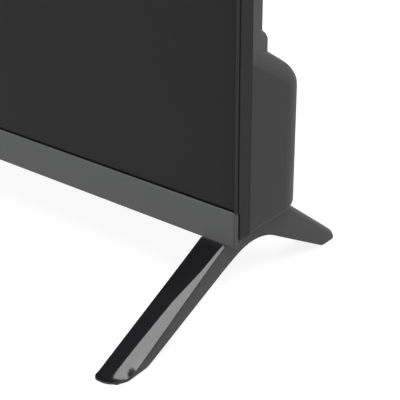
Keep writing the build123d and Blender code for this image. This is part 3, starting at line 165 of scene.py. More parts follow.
class Tree:
    """The node tree of a material or of the world."""

    def __init__(self, holder: "bpy.types.Material | bpy.types.World") -> None:
        """Empty the tree of a new holder.

        Args:
            holder: the material or world.
        """
        holder.use_nodes = True
        self.nodes = holder.node_tree.nodes
        self.links = holder.node_tree.links
        self.nodes.clear()

    def node(
        self, kind: str, settings: dict | None = None, inputs: dict | None = None, out: int | str = 0
    ) -> Sock:
        """Add any node.

        Args:
            kind: the node's type.
            settings: its properties by name.
            inputs: its inputs by name or number, each a value or a Sock.
            out: the output to return.

        Returns:
            That output.
        """
        made = self.nodes.new(kind)
        for key, value in (settings or {}).items():
            setattr(made, key, value)
        for key, value in (inputs or {}).items():
            if isinstance(value, Sock):
                self.links.new(value.socket, made.inputs[key])
            else:
                made.inputs[key].default_value = value
        return Sock(self, made.outputs[out])

    def place(self) -> Sock:
        """Return the object coordinates, which are the row frame's."""
        return self.node("ShaderNodeTexCoord", out="Object")

    def axis(self, name: str, place: Sock | None = None) -> Sock:
        """Return X, Y or Z of a place, or else of the object coordinates, in metres."""
        return self.node("ShaderNodeSeparateXYZ", inputs={0: place or self.place()}, out=name)

    def noise(self, scale: float, detail: float = 2.0, stretch: Triple = EVEN) -> Sock:
        """Return a noise in object coordinates.

        Args:
            scale: how many blobs there are in a metre.
            detail: how much fine structure it has.
            stretch: a factor for each axis.

        Returns:
            The noise, from 0 to 1.
        """
        where = self.node("ShaderNodeMapping", inputs={"Vector": self.place(), "Scale": stretch})
        inputs = {"Vector": where, "Scale": scale, "Detail": detail}
        return self.node("ShaderNodeTexNoise", inputs=inputs, out="Fac")

    def cells(self, scale: float, stretch: Triple = EVEN) -> Sock:
        """Return the distance to the nearest of many scattered points, so many in a metre."""
        where = self.node("ShaderNodeMapping", inputs={"Vector": self.place(), "Scale": stretch})
        return self.node("ShaderNodeTexVoronoi", inputs={"Vector": where, "Scale": scale}, out="Distance")

    def mix(self, share: Sock, first: Sock | Triple, second: Sock | Triple) -> Sock:
        """Mix two colours.

        Args:
            share: how much of the second one.
            first: the colour at 0.
            second: the colour at 1.

        Returns:
            The mixed colour.
        """
        pair = [c if isinstance(c, Sock) else (*c, 1.0) for c in (first, second)]
        return self.node(
            "ShaderNodeMix", {"data_type": "RGBA"}, {0: share, 6: pair[0], 7: pair[1]}, out=2
        )

    def blend(self, share: Sock, first: Sock, second: Sock) -> Sock:
        """Mix two shaders, the second one by the share."""
        return self.node("ShaderNodeMixShader", inputs={0: share, 1: first, 2: second})

    def ray(self, kind: str) -> Sock:
        """Return 1 for rays of one kind, and 0 for others."""
        return self.node("ShaderNodeLightPath", out=f"Is {kind} Ray")

    def close(self, shader: Sock, output: str = "ShaderNodeOutputMaterial") -> None:
        """Join a shader to a new output node of the given type."""
        end = self.nodes.new(output)
        self.links.new(shader.socket, end.inputs["Surface"])


class Pattern(Enum):
    """What is drawn into a surface besides its grain."""

    PLAIN = "plain"
    SCREEN = "screen"
    CHIN_END = "chin_end"
    SPANGLE = "spangle"
    BRUSHED = "brushed"
    TRACKS = "tracks"
    STRANDS = "strands"


@dataclass
class Skin:
    """What a finish feeds to its shader: colour, roughness and a height from 0 to 1."""

    tree: Tree
    colour: Sock
    rough: Sock
    height: Sock

    def emboss(self, shape: Sock, share: float) -> None:
        """Give a drawn shape its share of the texture's height."""
        self.height = self.height * (1.0 - share) + shape * share


@dataclass(frozen=True)
class Finish:
    """How one material slot looks.

    Args:
        colour: base colour, linear.
        roughness: from 0 to 1.
        metallic: 1 for bare metal.
        specular: strength of the plain reflection, 0.5 being the usual one.
        coat: weight of a clear coat.
        grain: blobs in a metre of the fine texture.
        bump: height of the fine texture, in metres.
        mottle: share by which colour and roughness wander.
        pattern: what else is drawn.
    """

    colour: Triple
    roughness: float
    metallic: float = 0.0
    specular: float = 0.5
    coat: float = 0.0
    grain: float = 1800.0
    bump: float = 0.02 * MM
    mottle: float = 0.06
    pattern: Pattern = Pattern.PLAIN

    # the blotches: how many in a metre, and how fine
    WANDER, WANDER_DETAIL = 14.0, 3.0
    COAT_ROUGHNESS = 0.06
    # the black border round the picture, and the softness of a drawn line
    SIDE_BORDER, FOOT_BORDER, BLUR = 8 * MM, 7 * MM, 0.3 * MM
    BORDER_COLOUR = (0.0200, 0.0200, 0.0206)
    CHIN_COLOUR = (0.090, 0.0905, 0.092)
    # crystals in a metre, their shade, and how much rougher they are
    FLAKES, FLAKE_SHADE, FLAKE_ROUGHNESS = 90.0, 0.75, 0.12
    # scratches in a metre, how long they are drawn, their roughness and share of the height
    STREAKS, STREAK_STRETCH, STREAK_ROUGHNESS, STREAK_SHARE = 900.0, (1.0, 1.0, 0.04), 0.1, 0.6
    # tracks in a metre, how long they are drawn, their width and share of the height
    TRACK_CELLS, TRACK_STRETCH, TRACK_WIDTH, TRACK_SHARE = 260.0, (1.0, 1.0, 0.25), 0.28, 0.7
    # how much of a track's colour shows, and how much paler it is
    TRACK_SHOWN, TRACK_PALER, TRACK_LIFT = 0.6, 2.2, 0.02
    # turns of wire in a metre, their unevenness and share of the height
    STRAND_RINGS, STRAND_BEND, STRAND_SHARE = 420.0, 0.5, 0.5

    def build(self, name: str) -> bpy.types.Material:
        """Make the material.

        Args:
            name: the slot's name.

        Returns:
            The material.
        """
        material = bpy.data.materials.new(name)
        tree = Tree(material)
        wander = tree.noise(self.WANDER, self.WANDER_DETAIL)
        dark = tuple(c * (1.0 - self.mottle) for c in self.colour)
        light = tuple(min(1.0, c * (1.0 + self.mottle)) for c in self.colour)
        skin = Skin(
            tree,
            tree.mix(wander, dark, light),
            self.roughness * (1.0 - self.mottle) + wander * (2.0 * self.mottle * self.roughness),
            tree.noise(self.grain),
        )
        drawings = {
            Pattern.SCREEN: self.draw_border,
            Pattern.CHIN_END: self.draw_chin_end,
            Pattern.SPANGLE: self.draw_flakes,
            Pattern.BRUSHED: self.draw_streaks,
            Pattern.TRACKS: self.draw_tracks,
            Pattern.STRANDS: self.draw_strands,
        }
        if self.pattern in drawings:
            drawings[self.pattern](skin)
        bumps = {"Strength": 1.0, "Distance": self.bump, "Height": skin.height}
        inputs = {
            "Base Color": skin.colour,
            "Roughness": skin.rough,
            "Metallic": self.metallic,
            "Specular IOR Level": self.specular,
            "Coat Weight": self.coat,
            "Coat Roughness": self.COAT_ROUGHNESS,
            "Normal": tree.node("ShaderNodeBump", inputs=bumps),
        }
        tree.close(tree.node("ShaderNodeBsdfPrincipled", inputs=inputs))
        return material

    def draw_border(self, skin: Skin) -> None:
        """Darken the border round the picture.

        Args:
            skin: what is drawn on.
        """
        tree = skin.tree
        low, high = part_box("lcd_panel")
        side = tree.axis("X").absolute() - (high.x - self.SIDE_BORDER)
        top = tree.axis("Z") - (high.z - self.SIDE_BORDER)
        foot = (low.z + self.FOOT_BORDER) - tree.axis("Z")
        inside = [part.step(-self.BLUR, self.BLUR) for part in (side, top, foot)]
        border = tree.node("ShaderNodeClamp", inputs={0: inside[0] + inside[1] + inside[2]})
        skin.colour = tree.mix(border, skin.colour, self.BORDER_COLOUR)

    def draw_chin_end(self, skin: Skin) -> None:
        """Give the lip the chin's grey where it runs beside the chin.

        Args:
            skin: what is drawn on.
        """
        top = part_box("chin_trim")[1].z
        beside = (top - skin.tree.axis("Z")).step(-self.BLUR, self.BLUR)
        skin.colour = skin.tree.mix(beside, skin.colour, self.CHIN_COLOUR)

    def draw_flakes(self, skin: Skin) -> None:
        """Draw the crystals of galvanised steel.

        Args:
            skin: what is drawn on.
        """
        flakes = skin.tree.cells(self.FLAKES)
        shaded = tuple(c * self.FLAKE_SHADE for c in self.colour)
        skin.colour = skin.tree.mix(flakes, skin.colour, shaded)
        skin.rough = skin.rough + flakes * self.FLAKE_ROUGHNESS

    def draw_streaks(self, skin: Skin) -> None:
        """Draw fine upright scratches.

        Args:
            skin: what is drawn on.
        """
        streaks = skin.tree.noise(self.STREAKS, 1.0, self.STREAK_STRETCH)
        skin.rough = skin.rough + streaks * self.STREAK_ROUGHNESS
        skin.emboss(streaks, self.STREAK_SHARE)

    def draw_tracks(self, skin: Skin) -> None:
        """Draw the paler copper tracks of a board.

        Args:
            skin: what is drawn on.
        """
        lines = skin.tree.cells(self.TRACK_CELLS, self.TRACK_STRETCH) < self.TRACK_WIDTH
        paler = tuple(min(1.0, c * self.TRACK_PALER + self.TRACK_LIFT) for c in self.colour)
        skin.colour = skin.tree.mix(lines * self.TRACK_SHOWN, skin.colour, paler)
        skin.emboss(lines, self.TRACK_SHARE)

    def draw_strands(self, skin: Skin) -> None:
        """Draw the twist of wound wire.

        Args:
            skin: what is drawn on.
        """
        where = {"Vector": skin.tree.place(), "Scale": self.STRAND_RINGS, "Distortion": self.STRAND_BEND}
        rings = skin.tree.node("ShaderNodeTexWave", {"bands_direction": "DIAGONAL"}, where, "Fac")
        skin.emboss(rings, self.STRAND_SHARE)


BRUSHED, SPANGLE, STRANDS, TRACKS = Pattern.BRUSHED, Pattern.SPANGLE, Pattern.STRANDS, Pattern.TRACKS
FINISHES: dict[str, Finish] = {
    "chin_grey": Finish(
        (0.088, 0.0885, 0.090), 0.55, specular=0.2, grain=2600.0, bump=0.012 * MM, mottle=0.03
    ),
    "bezel_grey": Finish(
        (0.033, 0.0334, 0.0343), 0.58, specular=0.06, grain=2600.0, bump=0.01 * MM, mottle=0.03,
        pattern=Pattern.CHIN_END,
    ),
    "screen_glass": Finish(
        (0.0215, 0.0215, 0.0221), 0.36, specular=0.05, grain=5200.0, bump=0.002 * MM, mottle=0.02,
        pattern=Pattern.SCREEN,
    ),
    "frame_black": Finish(
        (0.019, 0.019, 0.0197), 0.58, specular=0.1, grain=2600.0, bump=0.01 * MM, mottle=0.04
    ),
    "films": Finish((0.80, 0.81, 0.83), 0.25, grain=400.0, bump=0.004 * MM, mottle=0.02),
    "diffuser": Finish((0.85, 0.85, 0.84), 0.5, grain=900.0, bump=0.01 * MM, mottle=0.02),
    "reflector_white": Finish((0.86, 0.86, 0.85), 0.6, grain=700.0, bump=0.01 * MM, mottle=0.02),
    "tray_steel": Finish((0.56, 0.57, 0.58), 0.34, metallic=1.0, grain=500.0, mottle=0.05, pattern=SPANGLE),
    "board_green": Finish((0.015, 0.11, 0.035), 0.35, coat=0.3, grain=900.0, mottle=0.08, pattern=TRACKS),
    "board_white": Finish((0.78, 0.79, 0.76), 0.4, grain=900.0, mottle=0.04, pattern=TRACKS),
    "lens_clear": Finish((0.75, 0.77, 0.79), 0.08, coat=0.5, grain=300.0, bump=0.004 * MM, mottle=0.02),
    "film_amber": Finish((0.46, 0.20, 0.03), 0.3, grain=800.0, pattern=TRACKS),
    "ribbon_white": Finish((0.72, 0.72, 0.71), 0.45, grain=600.0, mottle=0.03, pattern=TRACKS),
    "chip_black": Finish((0.016, 0.016, 0.017), 0.5, grain=3000.0, mottle=0.08),
    "cooler_aluminium": Finish((0.62, 0.63, 0.65), 0.32, metallic=1.0, mottle=0.04, pattern=BRUSHED),
    "socket_metal": Finish((0.56, 0.56, 0.55), 0.26, metallic=1.0, pattern=BRUSHED),
    "socket_black": Finish((0.014, 0.014, 0.015), 0.42, grain=2200.0),
    "contact_brass": Finish((0.70, 0.52, 0.24), 0.24, metallic=1.0, mottle=0.05, pattern=BRUSHED),
    "winding_yellow": Finish((0.62, 0.40, 0.05), 0.45, grain=900.0, mottle=0.1, pattern=STRANDS),
    "can_black": Finish((0.02, 0.02, 0.035), 0.28, coat=0.4, grain=900.0),
    "wire_black": Finish((0.018, 0.018, 0.019), 0.45, grain=1500.0, mottle=0.08, pattern=STRANDS),
    "wire_red": Finish((0.36, 0.015, 0.012), 0.42, grain=1500.0, mottle=0.08, pattern=STRANDS),
    "wire_white": Finish((0.68, 0.68, 0.66), 0.42, grain=1500.0, mottle=0.05, pattern=STRANDS),
    "screw_black": Finish((0.06, 0.06, 0.065), 0.34, metallic=1.0, mottle=0.1, pattern=BRUSHED),
    "speaker_plastic": Finish((0.018, 0.018, 0.019), 0.55, grain=2200.0),
    "speaker_cone": Finish((0.022, 0.022, 0.024), 0.6, grain=2600.0, bump=0.05 * MM, mottle=0.1),
    "grommet_rubber": Finish((0.02, 0.02, 0.02), 0.75, grain=1600.0, mottle=0.1),
    "key_black": Finish((0.014, 0.014, 0.015), 0.35, grain=2400.0, bump=0.01 * MM, mottle=0.05),
    "window_dark": Finish((0.02, 0.006, 0.008), 0.12, coat=0.6, grain=500.0, bump=0.004 * MM, mottle=0.05),
    "cover_grey": Finish(
        (0.033, 0.033, 0.0341), 0.54, specular=0.14, grain=1500.0, bump=0.03 * MM, mottle=0.05
    ),
    "insert_steel": Finish((0.55, 0.55, 0.56), 0.32, metallic=1.0, pattern=BRUSHED),
    "foot_matt": Finish(
        (0.048, 0.048, 0.0493), 0.52, specular=0.16, grain=1700.0, bump=0.025 * MM, mottle=0.05
    ),
    "foot_gloss": Finish((0.008, 0.008, 0.009), 0.12, grain=260.0, bump=0.006 * MM, mottle=0.05),
    "pad_rubber": Finish((0.006, 0.006, 0.006), 0.9, specular=0.03, grain=1500.0, mottle=0.1),
    "bracket_plastic": Finish((0.03, 0.03, 0.03), 0.6, grain=1600.0),
}


class Palette:
    """Hands out the material of each slot, made once."""

    def __init__(self) -> None:
        """Start with no materials made."""
        self._made: dict[str, bpy.types.Material] = {}

    def material(self, slot: str) -> bpy.types.Material:
        """Return the slot's material.

        Args:
            slot: a material slot of the record.

        Returns:
            Its material.
        """
        if slot not in self._made:
            self._made[slot] = FINISHES[slot].build(slot)
        return self._made[slot]


class Workshop:
    """Turns bmeshes into pieces that ride on the CAD bodies."""

    JOIN_DISTANCE = 0.004 * MM
    THIN_DISTANCE = 0.001 * MM
    FLAT_ANGLE = math.radians(0.2)
    SHARP_ANGLE = math.radians(32.0)
    ROUND_ANGLE = math.radians(50)

    def __init__(self) -> None:
        """Read which slot and body each CAD node has."""
        record = frame["record"]
        self.palette = Palette()
        self.slots: dict[str, str] = {s["node"]: s["material_slot"] for s in record["subparts"]}
        self.bodies: dict[str, str] = {
            node: body for body, nodes in record["behaviour"]["bodies"].items() for node in nodes
        }

    def finish(
        self, name: str, mesh: bmesh.types.BMesh, node: str, stands_for: bool = True
    ) -> bpy.types.Object:
        """Make an object from a bmesh and let it ride where its CAD node does.

        Args:
            name: the piece's name.
            mesh: its shape, freed here.
            node: the CAD node that gives its slot and body.
            stands_for: whether the CAD node is hidden for it.

        Returns:
            The finished object.
        """
        bmesh.ops.recalc_face_normals(mesh, faces=mesh.faces)
        for face in mesh.faces:
            face.smooth = True
        for edge in mesh.edges:
            edge.smooth = len(edge.link_faces) == 2 and edge.calc_face_angle() < self.SHARP_ANGLE
        data = bpy.data.meshes.new(name)
        mesh.to_mesh(data)
        mesh.free()
        obj = placed(name, data)
        data.materials.append(self.palette.material(self.slots[node]))
        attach(obj, self.bodies[node])
        if stands_for:
            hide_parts(node)
        LOG.info("%s: %d faces for %s", name, len(data.polygons), node)
        return obj

    def merged(self, node: str) -> bmesh.types.BMesh:
        """Return a copy of a CAD node with its triangles joined.

        Args:
            node: the CAD node.

        Returns:
            The joined mesh.
        """
        mesh = bmesh.new()
        mesh.from_mesh(frame["nodes"][node].data)
        bmesh.ops.remove_doubles(mesh, verts=mesh.verts, dist=self.JOIN_DISTANCE)
        bmesh.ops.dissolve_degenerate(mesh, dist=self.THIN_DISTANCE, edges=mesh.edges)
        return mesh

    def refined(self, node: str, edge: float) -> None:
        """Show a CAD node through a joined copy with soft edges.

        Args:
            node: the CAD node.
            edge: how wide its edges are rounded, or 0.
        """
        mesh = self.merged(node)
        if edge:
            bmesh.ops.dissolve_limit(
                mesh, angle_limit=self.FLAT_ANGLE, verts=mesh.verts, edges=mesh.edges, delimit={"NORMAL"}
            )
        obj = self.finish(f"{node}_shown", mesh, node)
        if edge:
            rounder = obj.modifiers.new("edges", "BEVEL")
            rounder.width = edge
            rounder.segments = 2
            rounder.limit_method = "ANGLE"
            rounder.angle_limit = self.ROUND_ANGLE
            rounder.use_clamp_overlap = True
        weights = obj.modifiers.new("flat_faces", "WEIGHTED_NORMAL")
        weights.keep_sharp = True
        weights.weight = 100

    def carry(self, node: str) -> None:
        """Show a CAD node itself, with its slot's material.

        Args:
            node: the CAD node.
        """
        data = frame["nodes"][node].data
        data.materials.clear()
        data.materials.append(self.palette.material(self.slots[node]))
        LOG.info("%s: carried over", node)


class Outline:
    """A line of points with rounded corners, read by its first coordinate."""

    NEARLY_STRAIGHT = math.radians(89.5)

    def __init__(self, corners: list[Triple], steps: int = 6) -> None:
        """Round the corners.

        Args:
            corners: each corner's two coordinates and its radius.
            steps: how many pieces an arc has.
        """
        self.points: list[Point] = [corners[0][:2]]
        for before, corner, after in zip(corners, corners[1:], corners[2:]):
            lines = (Vector(before[:2]), Vector(corner[:2]), Vector(after[:2]))
            self.points += self._arc(*lines, corner[2], steps)
        self.points.append(corners[-1][:2])

    @classmethod
    def _arc(cls, before: Vector, corner: Vector, after: Vector, radius: float, steps: int) -> list[Point]:
        """Return the points of one rounded corner.

        Args:
            before: the corner before it.
            corner: the corner.
            after: the corner after it.
            radius: the rounding's radius.
            steps: how many pieces it has.

        Returns:
            The arc's points, or the corner itself where there is no radius.
        """
        one = (before - corner).normalized()
        two = (after - corner).normalized()
        half = one.angle(two) / 2
        if radius <= 0 or half > cls.NEARLY_STRAIGHT:
            return [tuple(corner)]
        reach = radius / math.tan(half)
        centre = corner + (one + two).normalized() * (radius / math.sin(half))
        start = corner + one * reach - centre
        end = corner + two * reach - centre
        turn = start.angle_signed(end)
        turns = [Matrix.Rotation(-turn * i / steps, 2) for i in range(steps + 1)]
        return [tuple(centre + rotation @ start) for rotation in turns]

    def at(self, where: float) -> float:
        """Return the second coordinate at a place along the first.

        Args:
            where: the first coordinate.

        Returns:
            The second one, held level past the ends.
        """
        pts = self.points
        if where <= pts[0][0]:
            return pts[0][1]
        for (x0, z0), (x1, z1) in zip(pts, pts[1:]):
            if x0 <= where <= x1 and x1 > x0:
                return z0 + (z1 - z0) * (where - x0) / (x1 - x0)
        return pts[-1][1]


@dataclass(frozen=True)
class FootShape:
    """Sizes of a foot, along the depth from the screen's front plane and up from the floor.

    A name that ends in at, start or end is a place along the depth.
    """

    half_width: float = 8.25 * MM
    splay: float = 3.1 * MM
    pad: float = 1.2 * MM
    front_at: float = -91 * MM
    rear_at: float = 112 * MM
    toe_outer_round: float = 12.0 * MM
    toe_inner_round: float = 3.0 * MM
    heel_round: float = 4.0 * MM
    # upper side, from the toe to the heel
    toe_height: float = 2.6 * MM
    knee_at: float = -88 * MM
    knee_height: float = 3.2 * MM
    knee_round: float = 6 * MM
    chin_gap_height: float = 43.2 * MM
    step_start: float = 6.95 * MM
    step_end: float = 7.05 * MM
    root_height: float = 47.5 * MM
    root_end: float = 57 * MM
    root_round: float = 12 * MM
    heel_at: float = 109 * MM
    heel_height: float = 7.6 * MM
    heel_top_round: float = 4 * MM
    heel_tip_height: float = 5.0 * MM
    # lower side
    front_pad_end: float = -66.5 * MM
    front_pad_round: float = 12 * MM
    rear_pad_start: float = 97.5 * MM
    rear_pad_round: float = 10 * MM
    crown_at: float = 28.8 * MM
    crown_height: float = 39.4 * MM
    crown_round: float = 42 * MM
    # gloss cap
    seam: float = 0.12 * MM
    seam_toe_height: float = 2.0 * MM
    seam_knee_at: float = -78.8 * MM
    seam_knee_round: float = 20 * MM
    seam_root_height: float = 42.0 * MM
    slope_toe_width: float = 6.0 * MM
    slope_wide_at: float = -40 * MM
    slope_wide_width: float = 4.8 * MM
    slope_wide_round: float = 40 * MM
    slope_narrow_at: float = -18 * MM
    slope_narrow_width: float = 1.9 * MM
    slope_narrow_round: float = 20 * MM
    slope_root_width: float = 1.2 * MM
    # where the slope starts to ease, and how far onto the level, as shares of it
    slope_turn_share: float = 0.5
    slope_level_share: float = 0.3
    # edges
    hidden_edge: float = 0.15 * MM
    edge_round: float = 5.0 * MM
    # how far back the rounding grows, and how much of it there is at the start
    edge_growth: float = 14 * MM
    edge_start_share: float = 0.25
    small_round: float = 0.6 * MM
    rim: float = 0.3 * MM
    tip_offset: float = 0.15 * MM
    tip_length: float = 1.2 * MM
    # bounds of a slice's roundings, as shares of its height, of its width or of each other
    least_height: float = 0.3 * MM
    small_share: float = 0.3
    rim_share: float = 0.1
    soft_share: float = 0.6
    soft_growth: float = 1.6
    edge_share: float = 0.55
    round_edge_share: float = 0.92
    # slices along the depth, and pieces of a slice's roundings
    slice: float = 2.5 * MM
    least_slice: float = 0.04 * MM
    round_slices: int = 12
    small_steps: int = 3
    soft_steps: int = 4
    edge_steps: int = 8
    slope_steps: int = 5


@dataclass(frozen=True)
class Run:
    """One part of a foot that is lofted along the depth.

    Args:
        start: the first slice's place.
        end: the last slice's place.
        top: gives the height of the upper side.
        under: gives the height of the lower side.
        edge: gives the width of the outer top edge, and whether it slopes.
        round_rear: whether the rear end is rounded in plan, as the front end is.
    """

    start: float
    end: float
    top: Height
    under: Height
    edge: Edge
    round_rear: bool


class Foot:
    """One wishbone foot: a matt moulding with a gloss cap on its front leg.

    Both feet are shaped as the left one, and the right one is then mirrored.
    """

    JOIN_DISTANCE = 0.002 * MM

    def __init__(self, shop: Workshop, side: str, shape: FootShape = FootShape()) -> None:
        """Read where the foot is.

        Args:
            shop: makes the pieces.
            side: left or right.
            shape: the foot's sizes.
        """
        self.shop = shop
        self.side = side
        self.shape = shape
        low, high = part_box(f"foot_{side}")
        self.mirrored = high.x > 0
        self.middle = (-low.x if self.mirrored else high.x) - shape.half_width
        self.shift = low.y - shape.front_at
        self.top = self.upper_side()
        self.under = self.lower_side()
        self.seam, self.slope = self.cap_lines()

    def upper_side(self) -> Outline:
        """Draw the foot's upper side.

        Returns:
            Its line, from the toe to the heel.
        """
        s = self.shape
        return Outline(
            [
                (s.front_at, s.toe_height, 0),
                (s.knee_at, s.knee_height, s.knee_round),
                (0.0, s.chin_gap_height, 0),
                (s.step_start, s.chin_gap_height, 0),
                (s.step_end, s.root_height, 0),
                (s.root_end, s.root_height, s.root_round),
                (s.heel_at, s.heel_height, s.heel_top_round),
                (s.rear_at, s.heel_tip_height, 0),
            ]
        )

    def lower_side(self) -> Outline:
        """Draw the foot's lower side.

        Returns:
            Its line, which arches between the two pads.
        """
        s = self.shape
        return Outline(
            [
                (s.front_at, s.pad, 0),
                (s.front_pad_end, s.pad, s.front_pad_round),
                (s.crown_at, s.crown_height, s.crown_round),
                (s.rear_pad_start, s.pad, s.rear_pad_round),
                (s.rear_at, s.pad, 0),
            ],
            s.round_slices,
        )

    def cap_lines(self) -> tuple[Outline, Outline]:
        """Draw the cap's two lines.

        Returns:
            The height of the seam under it, and the width of its slope.
        """
        s = self.shape
        seam = Outline(
            [
                (s.front_at, s.seam_toe_height, 0),
                (s.seam_knee_at, s.seam_toe_height, s.seam_knee_round),
                (0.0, s.seam_root_height, 0),
            ]
        )
        slope = Outline(
            [
                (s.front_at, s.slope_toe_width, 0),
                (s.slope_wide_at, s.slope_wide_width, s.slope_wide_round),
                (s.slope_narrow_at, s.slope_narrow_width, s.slope_narrow_round),
                (0.0, s.slope_root_width, 0),
            ]
        )
        return seam, slope

    def build(self) -> None:
        """Make the moulding and the cap."""
        s = self.shape
        body = Run(s.front_at, s.rear_at, self.body_top, self.under.at, self.body_edge, True)
        cap = Run(s.front_at, -s.seam, self.top.at, self.cap_under, self.cap_edge, False)
        self.shop.finish(f"foot_moulding_{self.side}", self.loft(body), f"foot_{self.side}")
        self.shop.finish(f"foot_gloss_{self.side}", self.loft(cap), f"foot_cap_{self.side}")

    def body_top(self, y: float) -> float:
        """Return the moulding's top at a depth, under the cap on the front leg."""
        return self.seam.at(y) if y < -self.shape.seam / 2 else self.top.at(y)

    def cap_under(self, y: float) -> float:
        """Return the cap's underside at a depth, a seam above the moulding."""
        return self.seam.at(y) + self.shape.seam

    def body_edge(self, y: float) -> tuple[float, bool]:
        """Return the width of the moulding's outer top edge, which is round.

        Args:
            y: the place along the depth.

        Returns:
            The width, and False.
        """
        s = self.shape
        if y < 0:
            return s.hidden_edge, False
        return s.edge_round * min(1.0, s.edge_start_share + y / s.edge_growth), False

    def cap_edge(self, y: float) -> tuple[float, bool]:
        """Return the width of the cap's outer top edge at a depth, and that it slopes."""
        return self.slope.at(y), True

    def loft(self, run: Run) -> bmesh.types.BMesh:
        """Join upright slices along the depth.

        Args:
            run: the part that is lofted.

        Returns:
            The joined mesh.
        """
        mesh = bmesh.new()
        loops = [self.closed_line(mesh, self.ring(y, run)) for y in self.stations(run)]
        for one, two in zip(loops, loops[1:]):
            bmesh.ops.bridge_loops(mesh, edges=one + two)
        for end in (loops[0], loops[-1]):
            bmesh.ops.contextual_create(mesh, geom=end)
        bmesh.ops.remove_doubles(mesh, verts=mesh.verts, dist=self.JOIN_DISTANCE)
        if self.mirrored:
            bmesh.ops.scale(mesh, vec=(-1.0, 1.0, 1.0), verts=mesh.verts)
        return mesh

    @staticmethod
    def closed_line(mesh: bmesh.types.BMesh, points: list[Vector]) -> list[bmesh.types.BMEdge]:
        """Add a closed line of edges.

        Args:
            mesh: what it is added to.
            points: its corners.

        Returns:
            Its edges.
        """
        corners = [mesh.verts.new(point) for point in points]
        return [mesh.edges.new(pair) for pair in zip(corners, corners[1:] + corners[:1])]

    def stations(self, run: Run) -> list[float]:
        """Return where the slices are.

        Args:
            run: the part that is sliced.

        Returns:
            The places, in order.
        """
        s = self.shape
        length = run.end - run.start
        count = int(length / s.slice)
        places = {run.start, run.end}
        places |= {run.start + length * i / count for i in range(count)}
        for line in (self.top, self.under, self.seam):
            places |= {y for y, _ in line.points if run.start < y < run.end}
        for i in range(1, s.round_slices):
            share = 1 - math.cos(math.radians(QUARTER * i / s.round_slices))
            places |= {run.start + s.toe_outer_round * share, run.start + s.toe_inner_round * share}
            if run.round_rear:
                places.add(run.end - s.heel_round * share)
        kept: list[float] = []
        for y in sorted(places):
            if not kept or y - kept[-1] > s.least_slice:
                kept.append(y)
        return kept

    def sides(self, y: float, run: Run) -> Point:
        """Return how far a slice reaches to each side of the foot's middle.

        Args:
            y: the slice's place.
            run: the part that it belongs to.

        Returns:
            The outer and the inner reach.
        """
        s = self.shape
        reaches = []
        for toe_round in (s.toe_outer_round, s.toe_inner_round):
            reach = s.half_width
            ends = [(y - run.start, toe_round)]
            if run.round_rear:
                ends.append((run.end - y, s.heel_round))
            for gap, radius in ends:
                if gap < radius:
                    reach -= radius - math.sqrt(max(0.0, radius**2 - (radius - gap) ** 2))
            reaches.append(reach)
        return reaches[0], reaches[1]

    @staticmethod
    def arc(centre: Point, radius: float, turn: float, steps: int) -> list[Point]:
        """Return a quarter of a circle.

        Args:
            centre: its middle.
            radius: its radius.
            turn: where it starts, in degrees.
            steps: how many pieces it has.

        Returns:
            Its points.
        """
        turns = [math.radians(turn + QUARTER * i / steps) for i in range(steps + 1)]
        return [(centre[0] + radius * math.cos(a), centre[1] + radius * math.sin(a)) for a in turns]

    def slope_line(self, low: Point, high: Point) -> list[Point]:
        """Return a straight slope that eases into the level at its top.

        Args:
            low: its foot.
            high: where it would meet the level.

        Returns:
            Its points.
        """
        s = self.shape
        a, b = Vector(low), Vector(high)
        turn = a.lerp(b, s.slope_turn_share)
        level = b + Vector(((b.x - a.x) * s.slope_level_share, 0.0))
        shares = [i / s.slope_steps for i in range(s.slope_steps + 1)]
        eased = [turn.lerp(b, t).lerp(b.lerp(level, t), t) for t in shares]
        return [tuple(p) for p in [a, a.lerp(turn, 0.5), *eased]]

    def ring(self, y: float, run: Run) -> list[Vector]:
        """Return one slice's points.

        Args:
            y: the slice's place.
            run: the part that it belongs to.

        Returns:
            The points, in order round the slice.
        """
        s = self.shape
        outer, inner = self.sides(y, run)
        gap = min(y - run.start, run.end - y if run.round_rear else s.slice)
        near = min(1.0, (gap + s.tip_offset) / s.tip_length)
        ease = s.small_round * (1 - math.sqrt(max(0.0, 1 - (1 - near) ** 2)))
        high, low = run.top(y) - ease, run.under(y) + ease / 2
        tall = max(s.least_height, high - low)
        width, sloping = run.edge(y)
        width = min(width, (outer + inner) * s.edge_share)
        small = min(s.small_round, tall * s.small_share)
        soft = min(small * s.soft_growth, tall * s.soft_share)
        points = self.arc((outer - small, low + small), small, -QUARTER, s.small_steps)
        if sloping:
            rim = low + small + min(s.rim, tall * s.rim_share)
            points += self.slope_line((outer, rim), (outer - width, high))
        else:
            width = min(width, tall * s.round_edge_share)
            points += self.arc((outer - width, high - width), width, 0, s.edge_steps)
        points += self.arc((soft - inner, high - soft), soft, QUARTER, s.soft_steps)
        points += self.arc((small - inner, low + small), small, 2 * QUARTER, s.small_steps)
        middle = self.middle - s.splay * max(0.0, y / s.front_at)
        return [Vector((middle - x, y + self.shift, z)) for x, z in points]


def add_slab(mesh: bmesh.types.BMesh, low: Vector, high: Vector, edge: float) -> None:
    """Add a block with rounded edges.

    Args:
        mesh: what it is added to.
        low: its lowest corner.
        high: its highest corner.
        edge: the width of its edges' rounding.
    """
    place = Matrix.Translation((low + high) / 2) @ Matrix.Diagonal((*(high - low), 1))
    made = bmesh.ops.create_cube(mesh, size=1.0, matrix=place)
    edges = list({e for v in made["verts"] for e in v.link_edges})
    bmesh.ops.bevel(
        mesh, geom=edges, offset=edge, affect="EDGES", segments=2, profile=0.5, material=-1
    )


